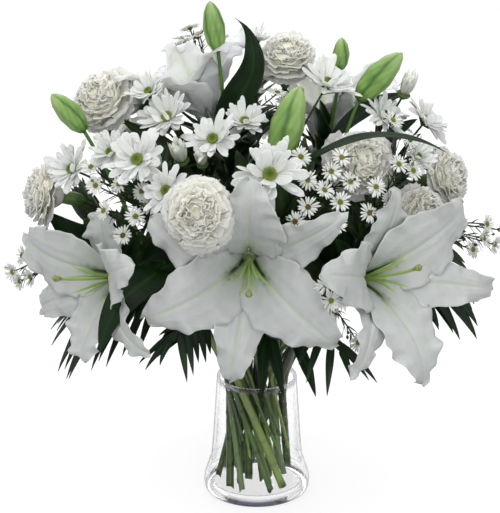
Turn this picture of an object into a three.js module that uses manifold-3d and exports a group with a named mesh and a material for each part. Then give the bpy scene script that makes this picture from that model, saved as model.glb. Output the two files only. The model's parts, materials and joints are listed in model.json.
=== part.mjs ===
// White lilies, carnations, daisy chrysanthemums and asters in a flared glass vase of water.
// Millimetres, +Z up, +X to the right, -Y towards the front. The origin is the middle of the vase's foot.
import * as THREE from "three";
import { mergeVertices } from "three/addons/utils/BufferGeometryUtils.js";
import Module from "manifold-3d";

const wasm = await Module();
wasm.setup();

// ---------- driving dimensions ----------
const CLEARANCE = 0.35; // room between two pieces that touch
const SHARPEST = 0.35; // keeps the room round a needle-sharp corner from growing without end
const TINY = 0.05; // edges shorter than this are smoothed away after a cut

const VASE_SIDES = 18;
const VASE_FLOOR = 9.7; // top of the thick glass bottom
const VASE_OUTSIDE = [
  [50, 0],
  [54.5, 4],
  [54.8, 13],
  [49.8, 29],
  [46.6, 44],
  [41.2, 122],
  [39.7, 125.5],
];
const VASE_INSIDE = [
  [38.2, 122],
  [43.6, 44],
  [46.8, 29],
  [50.8, 16],
  [47, VASE_FLOOR],
];
const WATER_LEVEL = 87;
const WATER_SIDE_AT_LEVEL = 40.2; // radius of the water's surface

const NECK_HEIGHT = 131; // just above the rim, where the stems begin to part
const RINGS = [
  { neck: 33, foot: 41, stems: 17 },
  { neck: 21, foot: 29, stems: 11 },
  { neck: 9, foot: 14, stems: 6 },
];
const TWIST = 80; // degrees the bundle turns between the rim and the vase's floor
const LEAD = 22; // degrees a stem stands ahead of its bloom at the rim
const STEM_SIDES = 5;
const STEP = 9; // distance between two points of a stem's route
const ELBOW_ROOM = 2; // extra distance kept between two stems' routes
const ROUNDS = 80; // how often the routes are compared while they make room
const PUSH = 0.3; // share of a missing distance that one round makes good
const SMOOTHING = 0.25; // share by which a round straightens a route again
const STRAIGHT = 0.3; // share of a route over which it keeps the direction of its start

const LILY_STEM = 3.6;
const CARNATION_STEM = 2.7;
const DAISY_STEM = 2.3;
const ASTER_STEM = 1.5;
const FROND_STEM = 1.4;

const TEPAL_THICKNESS = 1.1;
const LEAF_THICKNESS = 1;

// ---------- colours ----------
const MATERIALS = {
  glass: { color: "#dfe6ea", roughness: 0.05, metalness: 0, transparent: true, opacity: 0.35 },
  water: { color: "#e4edf0", roughness: 0.05, metalness: 0, transparent: true, opacity: 0.4 },
  lily: { color: "#f1f3ee", roughness: 0.55, metalness: 0 },
  pistil: { color: "#9fbf5a", roughness: 0.5, metalness: 0 },
  lilyGreen: { color: "#3f6b35", roughness: 0.5, metalness: 0 },
  carnation: { color: "#f3f1e6", roughness: 0.75, metalness: 0 },
  carnationGreen: { color: "#6f9163", roughness: 0.6, metalness: 0 },
  daisy: { color: "#f4f5f1", roughness: 0.65, metalness: 0 },
  aster: { color: "#eef0ea", roughness: 0.7, metalness: 0 },
  frond: { color: "#1f4424", roughness: 0.5, metalness: 0 },
  blade: { color: "#17391d", roughness: 0.4, metalness: 0 },
};

// ---------- the flowers ----------
// A bloom's base is where its petals spring. Azimuth 0 looks to the front, 90 to the right; elevation is
// the rise of its axis. A tepal is [turn, length, width, curl]: the turn is clockwise from the top as seen
// from the front of the bloom, and the curl is the angle from the axis that its tip reaches. A fifth number
// over 1 leaves most of the bend to the tip.
const LILIES = [
  {
    base: [-8, -78, 279],
    azimuth: 0,
    elevation: -5,
    tepals: [
      [0, 130, 50, 98],
      [53, 126, 34, 98],
      [128, 132, 52, 100],
      [190, 130, 36, 96],
      [249, 132, 54, 100],
      [308, 112, 34, 124],
    ],
    leaves: [
      [0.8, [-142, -92, 228], 36],
      [0.3, [26, -64, 126], 18],
      [0.34, [4, -70, 122], 18],
    ],
    bud: { at: 0.72, base: [18, -62, 366], tip: [39, -62, 437], radius: 16 },
  },
  {
    base: [-128, -52, 250],
    azimuth: -46,
    elevation: 5,
    tepals: [
      [355, 106, 36, 112],
      [66, 128, 46, 92],
      [116, 122, 30, 106],
      [163, 98, 50, 78],
      [240, 112, 32, 118],
      [284, 122, 48, 114],
    ],
    leaves: [
      [0.66, [-204, -6, 300], 30],
      [0.42, [-96, -84, 178], 22],
    ],
    bud: { at: 0.6, base: [-166, -16, 384], tip: [-197, -14, 420], radius: 11.5 },
  },
  {
    base: [97, -66, 252],
    azimuth: 40,
    elevation: 15,
    tepals: [
      [5, 112, 34, 116],
      [59, 130, 50, 96],
      [108, 138, 34, 92],
      [179, 128, 52, 98],
      [226, 126, 30, 100],
      [283, 128, 48, 98],
    ],
    leaves: [
      [0.72, [18, -56, 324], 32],
      [0.3, [58, -60, 126], 18],
    ],
    bud: { at: 0.66, base: [98, 10, 410], tip: [139, 0, 457], radius: 13.5 },
  },
  {
    base: [-42, 52, 372],
    azimuth: -103,
    elevation: 64,
    spread: 9,
    tepals: [
      [14, 122, 46, 150, 2.4],
      [72, 108, 30, 84],
      [126, 118, 48, 92],
      [184, 124, 32, 84],
      [240, 116, 48, 84],
      [304, 112, 32, 84],
    ],
    leaves: [
      [0.72, [-14, 20, 490], 32],
      [0.6, [-120, 90, 330], 24],
    ],
    bud: { at: 0.74, base: [-38, 34, 452], tip: [-46, 30, 502], radius: 11 },
  },
  {
    base: [72, 92, 340],
    azimuth: 160,
    elevation: 72,
    spread: 9,
    tepals: [
      [0, 104, 42, 66],
      [60, 104, 30, 58],
      [120, 104, 42, 62],
      [180, 104, 30, 60],
      [240, 104, 42, 64],
      [300, 104, 30, 60],
    ],
    leaves: [
      [0.6, [166, 90, 372], 24],
      [0.5, [150, 120, 270], 22],
    ],
    bud: { at: 0.72, base: [82, 42, 432], tip: [83, 40, 465], radius: 8.5 },
  },
  {
    base: [-20, 96, 262],
    azimuth: 183,
    elevation: 8,
    tepals: [
      [2, 126, 48, 98],
      [60, 124, 34, 96],
      [122, 128, 50, 100],
      [182, 126, 34, 96],
      [240, 128, 50, 98],
      [300, 124, 34, 100],
    ],
    leaves: [
      [0.62, [-96, 124, 214], 26],
      [0.62, [60, 130, 205], 24],
    ],
    bud: { at: 0.7, base: [-4, 112, 384], tip: [-2, 130, 440], radius: 12 },
  },
];

const CARNATIONS = [
  { centre: [-52, -142, 337], radius: 36, azimuth: -4, elevation: 22 },
  { centre: [-149, 20, 405], radius: 36, azimuth: -38, elevation: 40 },
  { centre: [-206, 0, 316], radius: 33, azimuth: -78, elevation: 12 },
  { centre: [30, 70, 437], radius: 33, azimuth: 4, elevation: 58 },
  { centre: [98, -34, 356], radius: 36, azimuth: 12, elevation: 34 },
  { centre: [186, 26, 328], radius: 31, azimuth: 56, elevation: 20 },
  { centre: [157, -30, 304], radius: 32, azimuth: 34, elevation: 18 },
  { centre: [-128, 124, 336], radius: 35, azimuth: -140, elevation: 22 },
  { centre: [104, 158, 300], radius: 35, azimuth: 146, elevation: 16 },
];

// Each spray has one stem up to its fork and a branch to each head: [x, y, z, radius].
const DAISY_SPRAYS = [
  {
    fork: [-92, -20, 300],
    heads: [
      [-110, -84, 373, 29],
      [-83, -104, 349, 25],
      [-178, -24, 348, 26],
      [-138, -52, 372, 20],
    ],
  },
  {
    fork: [-56, 20, 330],
    heads: [
      [-86, -20, 398, 27],
      [-104, -6, 420, 20],
      [-42, -42, 382, 27],
      [-12, -8, 391, 23],
    ],
  },
  {
    fork: [2, -34, 300],
    heads: [
      [11, -100, 363, 32],
      [-16, -104, 330, 17],
      [68, 10, 425, 29],
      [-2, 60, 458, 17],
    ],
  },
  {
    fork: [118, 50, 306],
    heads: [
      [122, 0, 394, 23],
      [167, 28, 383, 27],
      [153, -30, 362, 18],
      [134, 116, 372, 27],
    ],
  },
  {
    fork: [-20, 100, 300],
    heads: [
      [-116, 106, 384, 27],
      [-58, 132, 380, 25],
      [10, 156, 350, 28],
      [-150, 76, 362, 22],
    ],
  },
];

const ASTER_SPRAYS = [
  {
    fork: [-90, -40, 300],
    heads: [
      [-152, -64, 343],
      [-143, -84, 324],
      [-129, -74, 347],
      [-113, -96, 322],
      [-126, -84, 300],
      [-108, -74, 340],
    ],
  },
  {
    fork: [26, -66, 300],
    heads: [
      [34, -112, 322],
      [46, -106, 334],
      [46, -92, 356],
      [76, -96, 336],
      [68, -84, 362],
      [72, -108, 318],
    ],
  },
  {
    fork: [112, -48, 308],
    heads: [
      [132, -66, 364],
      [110, -80, 346],
      [124, -72, 330],
      [104, -84, 322],
      [144, -44, 382],
    ],
  },
  {
    fork: [60, -60, 240],
    heads: [
      [64, -100, 252],
      [74, -104, 240],
      [84, -96, 248],
      [96, -92, 196],
      [68, -96, 226],
    ],
  },
  {
    fork: [140, 20, 280],
    heads: [
      [224, -10, 274],
      [236, -4, 266],
      [228, 0, 286],
      [216, 4, 258],
      [242, 0, 280],
    ],
  },
  {
    fork: [-140, 20, 270],
    heads: [
      [-244, -6, 238],
      [-238, 0, 226],
      [-226, -10, 234],
      [-236, 10, 250],
    ],
  },
  {
    fork: [-34, 100, 350],
    heads: [
      [-76, 88, 456],
      [-68, 92, 466],
      [-60, 86, 458],
      [-84, 94, 446],
      [20, 30, 412],
      [28, 36, 402],
    ],
  },
];

// A frond is a rib from the neck of the vase through two points, with leaflets on both sides.
const FRONDS = [
  { through: [-62, -4, 202], tip: [-156, -20, 222], width: 78, pairs: 6 },
  { through: [-36, -50, 196], tip: [-80, -112, 206], width: 68, pairs: 5 },
  { through: [46, -50, 192], tip: [78, -110, 194], width: 66, pairs: 5 },
  { through: [84, -4, 214], tip: [184, -14, 236], width: 76, pairs: 6 },
  { through: [10, 70, 200], tip: [28, 168, 212], width: 74, pairs: 6 },
];

// Long leaves on stems of their own: they arch through two points.
const BLADES = [
  { through: [40, -50, 358], tip: [176, -66, 376], width: 15, lift: 46 },
  { through: [76, 36, 366], tip: [146, 32, 410], width: 16, lift: 17 },
];

// ---------- solids from formulas ----------
const radians = THREE.MathUtils.degToRad;
const vector = (x, y, z) => new THREE.Vector3(x, y, z);
const mix = (a, b, t) => a.clone().lerp(b, t);

function closed(points, triangles) {
  const vertProperties = new Float32Array(points.flatMap((p) => [p.x, p.y, p.z]));
  const build = (list) =>
    new wasm.Manifold(new wasm.Mesh({ numProp: 3, vertProperties, triVerts: new Uint32Array(list) }));
  const made = build(triangles);
  return made.volume() < 0 ? build(triangles.toReversed()) : made;
}

function union(solids) {
  return wasm.Manifold.union(solids);
}

// A three.js geometry as a solid, its seams welded.
function fromGeometry(geometry) {
  geometry.deleteAttribute("uv");
  geometry.deleteAttribute("normal");
  const welded = mergeVertices(geometry, 1e-3);
  return closed(
    Array.from({ length: welded.attributes.position.count }, (_, i) =>
      vector().fromBufferAttribute(welded.attributes.position, i),
    ),
    [...welded.index.array],
  );
}

// A profile of [radius, height] turned round the Z axis.
function turned(profile, sides) {
  const points = profile.map(([radius, height]) => new THREE.Vector2(radius, height));
  return fromGeometry(new THREE.LatheGeometry(points, sides).rotateX(Math.PI / 2));
}

// A plate whose middle surface runs through rows of points. The last row may be one point, the tip.
// Both faces are split along the same diagonals, so a waved plate keeps its thickness.
function plate(rows, thickness) {
  const half = thickness / 2;
  const wide = rows[0].length - 1;
  const count = rows.length;
  const points = [];
  const top = [];
  rows.forEach((row, i) => {
    top.push(
      row.map((point, j) => {
        const before = rows[Math.max(i - 1, 0)];
        const after = rows[Math.min(i + 1, count - 1)];
        const side = row.length > 1 ? row : before;
        const column = row.length > 1 ? j : Math.round(wide / 2);
        const along = (after[Math.min(column, after.length - 1)]).clone().sub(before[column]);
        const across = side[Math.min(column + 1, wide)].clone().sub(side[Math.max(column - 1, 0)]);
        const normal = across.clone().cross(along).normalize().multiplyScalar(half);
        points.push(point.clone().add(normal), point.clone().sub(normal));
        return points.length - 2;
      }),
    );
  });
  const triangles = [];
  const both = (a, b, c) => triangles.push(a, b, c, a + 1, c + 1, b + 1);
  const wall = (a, b) => triangles.push(a, a + 1, b + 1, a, b + 1, b);
  for (let i = 0; i + 1 < count; i++) {
    const here = top[i];
    const next = top[i + 1];
    for (let j = 0; j < wide; j++) {
      if (next.length > 1) {
        both(here[j], here[j + 1], next[j + 1]);
        both(here[j], next[j + 1], next[j]);
      } else {
        both(here[j], here[j + 1], next[0]);
      }
    }
    wall(next[0], here[0]);
    wall(here[wide], next[next.length - 1]);
  }
  const last = top[count - 1];
  for (let j = 0; j < wide; j++) wall(top[0][j], top[0][j + 1]);
  for (let j = 0; j + 1 < last.length; j++) wall(last[j + 1], last[j]);
  return closed(points, triangles);
}

// Rings of points round a route, with a radius for each of its points. A floor cuts the first ring level.
function ringsAlong(route, radii, sides, start, floor) {
  const rings = [];
  let across = start;
  route.forEach((point, i) => {
    const before = route[Math.max(i - 1, 0)];
    const after = route[Math.min(i + 1, route.length - 1)];
    const run = after.clone().sub(before).normalize();
    across = across.clone().addScaledVector(run, -across.dot(run)).normalize();
    const beside = run.clone().cross(across);
    rings.push(
      Array.from({ length: sides }, (_, k) => {
        const turn = (2 * Math.PI * k) / sides;
        const spot = point
          .clone()
          .addScaledVector(across, Math.cos(turn) * radii[i])
          .addScaledVector(beside, Math.sin(turn) * radii[i]);
        if (i === 0 && floor !== undefined) spot.addScaledVector(run, (floor - spot.z) / run.z);
        return spot;
      }),
    );
  });
  return rings;
}

// The triangles of a skin over rings of equal count, the first point of the first ring being number `from`.
function bands(rings, from) {
  const sides = rings[0].length;
  const index = (i, k) => from + i * sides + (k % sides);
  const triangles = [];
  for (let i = 0; i + 1 < rings.length; i++) {
    for (let k = 0; k < sides; k++) {
      triangles.push(index(i, k), index(i, k + 1), index(i + 1, k + 1));
      triangles.push(index(i, k), index(i + 1, k + 1), index(i + 1, k));
    }
  }
  for (let k = 1; k + 1 < sides; k++) {
    triangles.push(index(rings.length - 1, 0), index(rings.length - 1, k), index(rings.length - 1, k + 1));
  }
  return triangles;
}

// A round rod along a route.
function rod(route, radii, sides, floor) {
  const start = Math.abs(route[1].z - route[0].z) > 0.7 * route[1].distanceTo(route[0]);
  const rings = ringsAlong(route, radii, sides, start ? vector(1, 0, 0) : vector(0, 0, 1), floor);
  const triangles = bands(rings, 0);
  for (let k = 1; k + 1 < sides; k++) triangles.push(0, k + 1, k);
  return closed(rings.flat(), triangles);
}

// A closed surface of rings, each with the same number of points, between a lowest and a highest point.
function ringed(lowest, rings, highest) {
  const sides = rings[0].length;
  const points = [lowest, highest, ...rings.flat()];
  const index = (i, k) => 2 + i * sides + (k % sides);
  const last = rings.length - 1;
  const triangles = [];
  for (let k = 0; k < sides; k++) {
    triangles.push(0, index(0, k + 1), index(0, k), 1, index(last, k), index(last, k + 1));
    for (let i = 0; i < last; i++) {
      triangles.push(index(i, k), index(i, k + 1), index(i + 1, k + 1));
      triangles.push(index(i, k), index(i + 1, k + 1), index(i + 1, k));
    }
  }
  return closed(points, triangles);
}

// A point at a turn round the Z axis.
const polar = (radius, turn, height) => vector(radius * Math.cos(turn), radius * Math.sin(turn), height);

// ---------- placing ----------
function axisOf(azimuth, elevation) {
  const az = radians(azimuth);
  const el = radians(elevation);
  return vector(Math.sin(az) * Math.cos(el), -Math.cos(az) * Math.cos(el), Math.sin(el));
}

// Turns a solid made with its axis along +Z to point along an axis, its +Y side up.
function standing(place, axis) {
  const right = vector(-axis.y, axis.x, 0).normalize();
  const up = axis.clone().cross(right);
  return new THREE.Matrix4().makeBasis(right, up, axis).setPosition(place);
}

function put(solid, place, axis) {
  return solid.transform(standing(place, axis).elements);
}

// A head looks away from the heart of the bouquet, and in front also towards the viewer.
const HEART = vector(0, 30, 250);
function outlook(place) {
  const away = place.clone().sub(HEART).normalize();
  const front = THREE.MathUtils.clamp((60 - place.y) / 100, 0, 1);
  return away.add(vector(0, -0.75 * front, 0.25 * front)).normalize();
}

// ---------- stems ----------
// Every plant stands in one of three rings of the twisted bundle, the widest-leaning ones outside.
function assignSlots(stems) {
  const lean = (stem) => Math.hypot(stem.goal.x, stem.goal.y) / (stem.goal.z - 60);
  const sorted = stems.toSorted((a, b) => lean(b) - lean(a));
  const share = stems.length / RINGS.reduce((sum, ring) => sum + ring.stems, 0);
  let taken = 0;
  let filled = 0;
  for (const ring of RINGS) {
    filled += ring.stems * share;
    const members = sorted.slice(taken, Math.round(filled));
    taken = Math.round(filled);
    const bearing = (stem) => Math.atan2(stem.goal.y, stem.goal.x);
    members.sort((a, b) => bearing(a) - bearing(b));
    const pitch = (2 * Math.PI) / members.length;
    const start = members.reduce((sum, stem, k) => sum + bearing(stem) - k * pitch, 0) / members.length;
    members.forEach((stem, k) => {
      const angle = start + k * pitch + radians(LEAD);
      const below = angle + radians(TWIST);
      stem.neck = vector(ring.neck * Math.cos(angle), ring.neck * Math.sin(angle), NECK_HEIGHT);
      const floor = vector(ring.foot * Math.cos(below), ring.foot * Math.sin(below), VASE_FLOOR + CLEARANCE);
      stem.foot = mix(floor, stem.neck, (stem.footHeight - floor.z) / (stem.neck.z - floor.z));
    });
  }
}

function layRoute(stem) {
  const rise = stem.neck.clone().sub(stem.foot).normalize();
  const span = stem.goal.distanceTo(stem.neck);
  const curve = new THREE.CubicBezierCurve3(
    stem.neck,
    stem.neck.clone().addScaledVector(rise, STRAIGHT * span),
    stem.goal.clone().addScaledVector(stem.arrive, -STRAIGHT * span),
    stem.goal,
  );
  stem.route = curve.getSpacedPoints(Math.max(3, Math.round(curve.getLength() / STEP)));
}

// Routes that come closer than they are thick are pushed apart a little at a time; their ends stay put.
function makeRoom(moving, still) {
  for (let round = 0; round < ROUNDS; round++) {
    const pushes = moving.map((stem) => stem.route.map(() => vector(0, 0, 0)));
    moving.forEach((stem, s) => {
      for (const other of [...moving, ...still]) {
        if (other === stem || other === stem.parent || stem === other.parent) continue;
        const apart = stem.radius + other.radius + ELBOW_ROOM;
        stem.route.forEach((point, i) => {
          for (const near of other.route) {
            const gap = point.distanceTo(near);
            if (gap >= apart || gap < 1e-6) continue;
            pushes[s][i].addScaledVector(point.clone().sub(near), (PUSH * (apart - gap)) / gap);
          }
        });
      }
    });
    moving.forEach((stem, s) => {
      const route = stem.route;
      const moved = route.map((point, i) => point.clone().add(pushes[s][i]));
      for (let i = 1; i + 1 < route.length; i++) {
        route[i].copy(mix(moved[i], mix(moved[i - 1], moved[i + 1], 0.5), SMOOTHING));
      }
    });
  }
}

// The rod of a stem from its cut end in the vase, with fewer points than its route. It may end in a calyx.
function stemRod(stem, tipRadius, cup = []) {
  const bends = Math.max(3, Math.round(stem.route.length / 5));
  const last = stem.route.length - 1;
  const line = [];
  for (let k = 0; k <= bends; k++) line.push(stem.route[Math.round((last * k) / bends)]);
  const toe = stem.foot;
  const radii = line.map((_, k) => THREE.MathUtils.lerp(stem.radius, tipRadius, k / bends));
  const end = line[bends];
  const flare = cup.map(([distance]) => end.clone().addScaledVector(stem.arrive, distance));
  const widths = cup.map(([, radius]) => radius);
  return rod([toe, ...line, ...flare], [stem.radius, ...radii, ...widths], STEM_SIDES, toe.z);
}

// A point part of the way along a route.
function along(route, share) {
  return route[Math.round(share * (route.length - 1))].clone();
}

// ---------- petals and leaves ----------
const TEPAL_START = 14; // degrees from the axis at its root
const INNER_ROOT = { out: 4.5, up: 0 }; // the three broad tepals spring in front of
const OUTER_ROOT = { out: 9.5, up: -5 }; // the three narrow ones
const BROAD = 38; // a tepal wider than this is one of the broad three
const TEPAL_STEPS = 5;
const TEPAL_WAVE = 3.2; // how far a margin waves near the tip
const TEPAL_WAVES = 1.4; // waves along a margin
const TEPAL_ARCH = 0.12; // how far the margins bend back, as a share of half the width
const THROAT_HALF = 4; // half the width of a tepal at its root

function tepal([turn, length, width, curl, late = 1]) {
  const steps = TEPAL_STEPS;
  const root = width > BROAD ? INNER_ROOT : OUTER_ROOT;
  const start = radians(TEPAL_START);
  const bend = radians(curl) - start;
  const sideways = radians(turn);
  const outward = vector(Math.sin(sideways), Math.cos(sideways), 0);
  const lateral = vector(Math.cos(sideways), -Math.sin(sideways), 0);
  const angleAt = (s) => start + bend * s ** late;
  // The midline is followed from the root in short straight pieces.
  const fine = 8;
  const midline = [[root.out, root.up]];
  for (let i = 0; i < steps * fine; i++) {
    const [out, up] = midline[i];
    const angle = angleAt((i + 0.5) / (steps * fine));
    const piece = length / (steps * fine);
    midline.push([out + piece * Math.sin(angle), up + piece * Math.cos(angle)]);
  }
  const rows = [];
  for (let i = 0; i <= steps; i++) {
    const s = i / steps;
    const angle = angleAt(s);
    const [reach, rise] = midline[i * fine];
    const middle = outward.clone().multiplyScalar(reach).setZ(rise);
    const inner = outward.clone().multiplyScalar(-Math.cos(angle)).setZ(Math.sin(angle));
    if (i === steps) {
      rows.push([middle]);
      continue;
    }
    // Near the throat a tepal is narrow and wraps round the axis; further out it is broad and flat.
    const half = (width / 2) * Math.sin(Math.PI * s ** 0.9) ** (2.35 - 1.6 * s) + THROAT_HALF * (1 - s);
    const bow = (1 - s) ** 1.2 / reach;
    const wave = (side) => TEPAL_WAVE * s * Math.sin(2 * Math.PI * TEPAL_WAVES * s + turn + side);
    const margin = (side) =>
      middle
        .clone()
        .addScaledVector(lateral, (side * Math.sin(bow * half)) / bow)
        .addScaledVector(outward, (Math.cos(bow * half) - 1) / bow)
        .addScaledVector(inner, wave(1.6 * side) - TEPAL_ARCH * s * half);
    rows.push([margin(-1), middle.addScaledVector(inner, -0.06 * half), margin(1)]);
  }
  return plate(rows, TEPAL_THICKNESS);
}

function lilyBloom(lily) {
  const throat = turned([[0, -9], [7, -8], [11, -2], [9, 6], [0, 8]], 7);
  return union([throat, ...lily.tepals.map(tepal)]);
}

// The green heart of a lily: ovary, a curved style with a thick stigma, and six filaments.
const STYLE_LENGTH = 84;
const STYLE_CURVE = 9; // how far the style curves up
const FILAMENT_LENGTH = 58;
const FILAMENT_SPREAD = 16; // how far the ends of the filaments stand from the style
function lilyHeart(spread = FILAMENT_SPREAD) {
  const heights = [3, 16, 20, 50, STYLE_LENGTH - 5, STYLE_LENGTH];
  const line = heights.map((z) => vector(0, STYLE_CURVE * (z / STYLE_LENGTH) ** 2, z));
  const style = rod(line, [3.2, 3.2, 1.7, 1.4, 1.8, 3.6], 5);
  const filaments = Array.from({ length: 6 }, (_, k) => {
    const turn = Math.PI / 2 - radians(30 + 60 * k);
    return rod([polar(1.5, turn, 12), polar(spread, turn, FILAMENT_LENGTH)], [1, 0.9], 3);
  });
  return union([style, ...filaments]);
}

const LEAF_STEPS = 4;
const LEAF_FOLD = 0.22; // rise of a leaf's margins over its midrib, as a share of half its width

// A leaf that arches from its root through a middle point to its tip, folded a little along its midrib.
function leaf(root, middle, tip, width) {
  const steps = LEAF_STEPS;
  const curve = new THREE.QuadraticBezierCurve3(root, middle, tip);
  const rows = [];
  for (let i = 0; i <= steps; i++) {
    const s = i / steps;
    const point = curve.getPoint(s);
    if (i === steps) {
      rows.push([point]);
      continue;
    }
    const run = curve.getTangent(s);
    const lateral = run.clone().cross(vector(0, 0, 1));
    if (lateral.length() < 0.3) lateral.add(vector(0.5, 0, 0));
    lateral.normalize();
    const face = lateral.clone().cross(run);
    const half = (width / 2) * Math.sin(Math.PI * s ** 0.8) ** 0.7 + 1.2 * (1 - s);
    rows.push([
      point.clone().addScaledVector(lateral, -half).addScaledVector(face, LEAF_FOLD * half),
      point,
      point.clone().addScaledVector(lateral, half).addScaledVector(face, LEAF_FOLD * half),
    ]);
  }
  return plate(rows, LEAF_THICKNESS);
}

function bulge(root, tip, lift) {
  return mix(root, tip, 0.5).add(vector(0, 0, lift * root.distanceTo(tip)));
}

// A bud and its stalk in one skin: each ring of the bud is [share of its length, share of its radius].
const BUD_RINGS = [
  [0.02, 0.42],
  [0.22, 0.85],
  [0.5, 1],
  [0.82, 0.66],
  [0.99, 0.16],
];
function lilyBud({ pedicel, bud }) {
  const foot = vector(...bud.base);
  const tip = vector(...bud.tip);
  const last = pedicel.route.length - 1;
  const stalk = [0, 0.5, 0.9].map((share) => pedicel.route[Math.round(share * last)]);
  const line = [...stalk, ...BUD_RINGS.map(([share]) => mix(foot, tip, share))];
  return rod(line, [...stalk.map(() => pedicel.radius), ...BUD_RINGS.map(([, wide]) => wide * bud.radius)], 6);
}

// A carnation head: four layers of ruffled, toothed petals, one above the other, with deep folds between.
// Each is [radius, height, tooth], as shares of the head's radius; a fold has no teeth.
const CARNATION_POINTS = 12;
const CARNATION_FOLDS = [
  [0.26, -0.36, 0],
  [1, 0, 0.08],
  [0.6, 0.16, 0],
  [0.93, 0.38, 0.08],
  [0.48, 0.42, 0],
  [0.7, 0.68, 0.07],
  [0.3, 0.6, 0],
  [0.4, 0.86, 0.06],
  [0.12, 0.7, 0],
];
function carnationHead(radius) {
  const rings = CARNATION_FOLDS.map(([wide, high, tooth]) =>
    Array.from({ length: CARNATION_POINTS }, (_, k) => {
      const wave = tooth * (k % 2 ? 1 : -1);
      return polar(radius * (wide + wave), (2 * Math.PI * k) / CARNATION_POINTS, radius * (high - 0.8 * wave));
    }),
  );
  return ringed(vector(0, 0, -0.5 * radius), rings, vector(0, 0, 0.72 * radius));
}

// The calyx is the widened end of a carnation's stem: [distance above its foot, radius].
const CALYX = [
  [3, 4.5],
  [12, 7],
  [24, 6.2],
];

// A head is a list of points, the triangles of its upper side and the loop of its rim, on whose underside
// the branch begins. Its axis is +Z and its middle is the origin.

// A daisy: blunt rays with notches between them round a raised disc.
const DAISY_RAYS = 9;
const DAISY_DISC = 0.27; // radius of the disc, and below that of the notches, as shares of the head's radius
const DAISY_NOTCH = 0.48;
const RAY_HALF = 0.65; // half the thickness of a ray at its tip
function daisyHead(radius) {
  const eye = DAISY_DISC * radius;
  const points = [vector(0, 0, 4.4)];
  const triangles = [];
  const rim = [];
  const each = 6;
  for (let k = 0; k < DAISY_RAYS; k++) {
    const middle = (2 * Math.PI * (k + 0.5)) / DAISY_RAYS;
    const between = (2 * Math.PI * k) / DAISY_RAYS;
    const spread = (0.3 * 2 * Math.PI) / DAISY_RAYS;
    const lift = (k % 2 ? 0.17 : 0.08) * radius;
    points.push(
      polar(eye, between, 3),
      polar(DAISY_NOTCH * radius, between, 0.06 * radius),
      polar(radius, middle - spread, lift + RAY_HALF),
      polar(radius, middle - spread, lift - RAY_HALF),
      polar(radius, middle + spread, lift + RAY_HALF),
      polar(radius, middle + spread, lift - RAY_HALF),
    );
    const [disc, notch, leftTop, leftLow, rightTop, rightLow] = [1, 2, 3, 4, 5, 6].map((i) => i + each * k);
    const nextDisc = 1 + each * ((k + 1) % DAISY_RAYS);
    const nextNotch = nextDisc + 1;
    triangles.push(0, disc, nextDisc, disc, notch, leftTop, disc, leftTop, rightTop);
    triangles.push(disc, rightTop, nextDisc, nextDisc, rightTop, nextNotch);
    triangles.push(notch, leftLow, leftTop, leftTop, leftLow, rightLow, leftTop, rightLow, rightTop);
    triangles.push(rightTop, rightLow, nextNotch);
    rim.push(notch, leftLow, rightLow);
  }
  return { points, triangles, rim };
}

// An aster: a small star of narrow rays, thick in its middle.
const ASTER_RADIUS = 10;
const ASTER_RAYS = 7;
function asterHead() {
  const points = [vector(0, 0, 2.6)];
  const triangles = [];
  const rim = [];
  const half = 0.6;
  for (let k = 0; k < ASTER_RAYS; k++) {
    const between = (2 * Math.PI * k) / ASTER_RAYS;
    const middle = between + Math.PI / ASTER_RAYS;
    points.push(
      polar(0.46 * ASTER_RADIUS, between, 0.4),
      polar(ASTER_RADIUS, middle, 0.8 + half),
      polar(ASTER_RADIUS, middle, 0.8 - half),
    );
    const [notch, top, low] = [1, 2, 3].map((i) => i + 3 * k);
    const next = 1 + 3 * ((k + 1) % ASTER_RAYS);
    triangles.push(0, notch, top, 0, top, next, notch, low, top, top, low, next);
    rim.push(notch, low);
  }
  return { points, triangles, rim };
}

// A head and its branch in one skin: the underside narrows into the rod, which runs back to the fork.
function headOnBranch(head, { place, axis, branch }, sides) {
  const matrix = standing(place, axis);
  const last = branch.route.length - 1;
  const route = [1, 0.5, 0].map((share) => branch.route[Math.round(share * last)].clone());
  const right = new THREE.Vector3().setFromMatrixColumn(matrix, 0);
  const rings = ringsAlong(route, route.map(() => branch.radius), sides, right);
  const points = [...head.points.map((point) => point.clone().applyMatrix4(matrix)), ...rings.flat()];
  const from = head.points.length;
  const triangles = [...head.triangles];
  const { rim } = head;
  const ring = (j) => from + ((sides - (j % sides)) % sides);
  let j = 0;
  rim.forEach((here, i) => {
    const next = rim[(i + 1) % rim.length];
    triangles.push(here, ring(j), next);
    if ((i + 1) * sides >= (j + 1) * rim.length) {
      triangles.push(next, ring(j), ring(j + 1));
      j++;
    }
  });
  triangles.push(...bands(rings, from));
  return closed(points, triangles);
}

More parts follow.
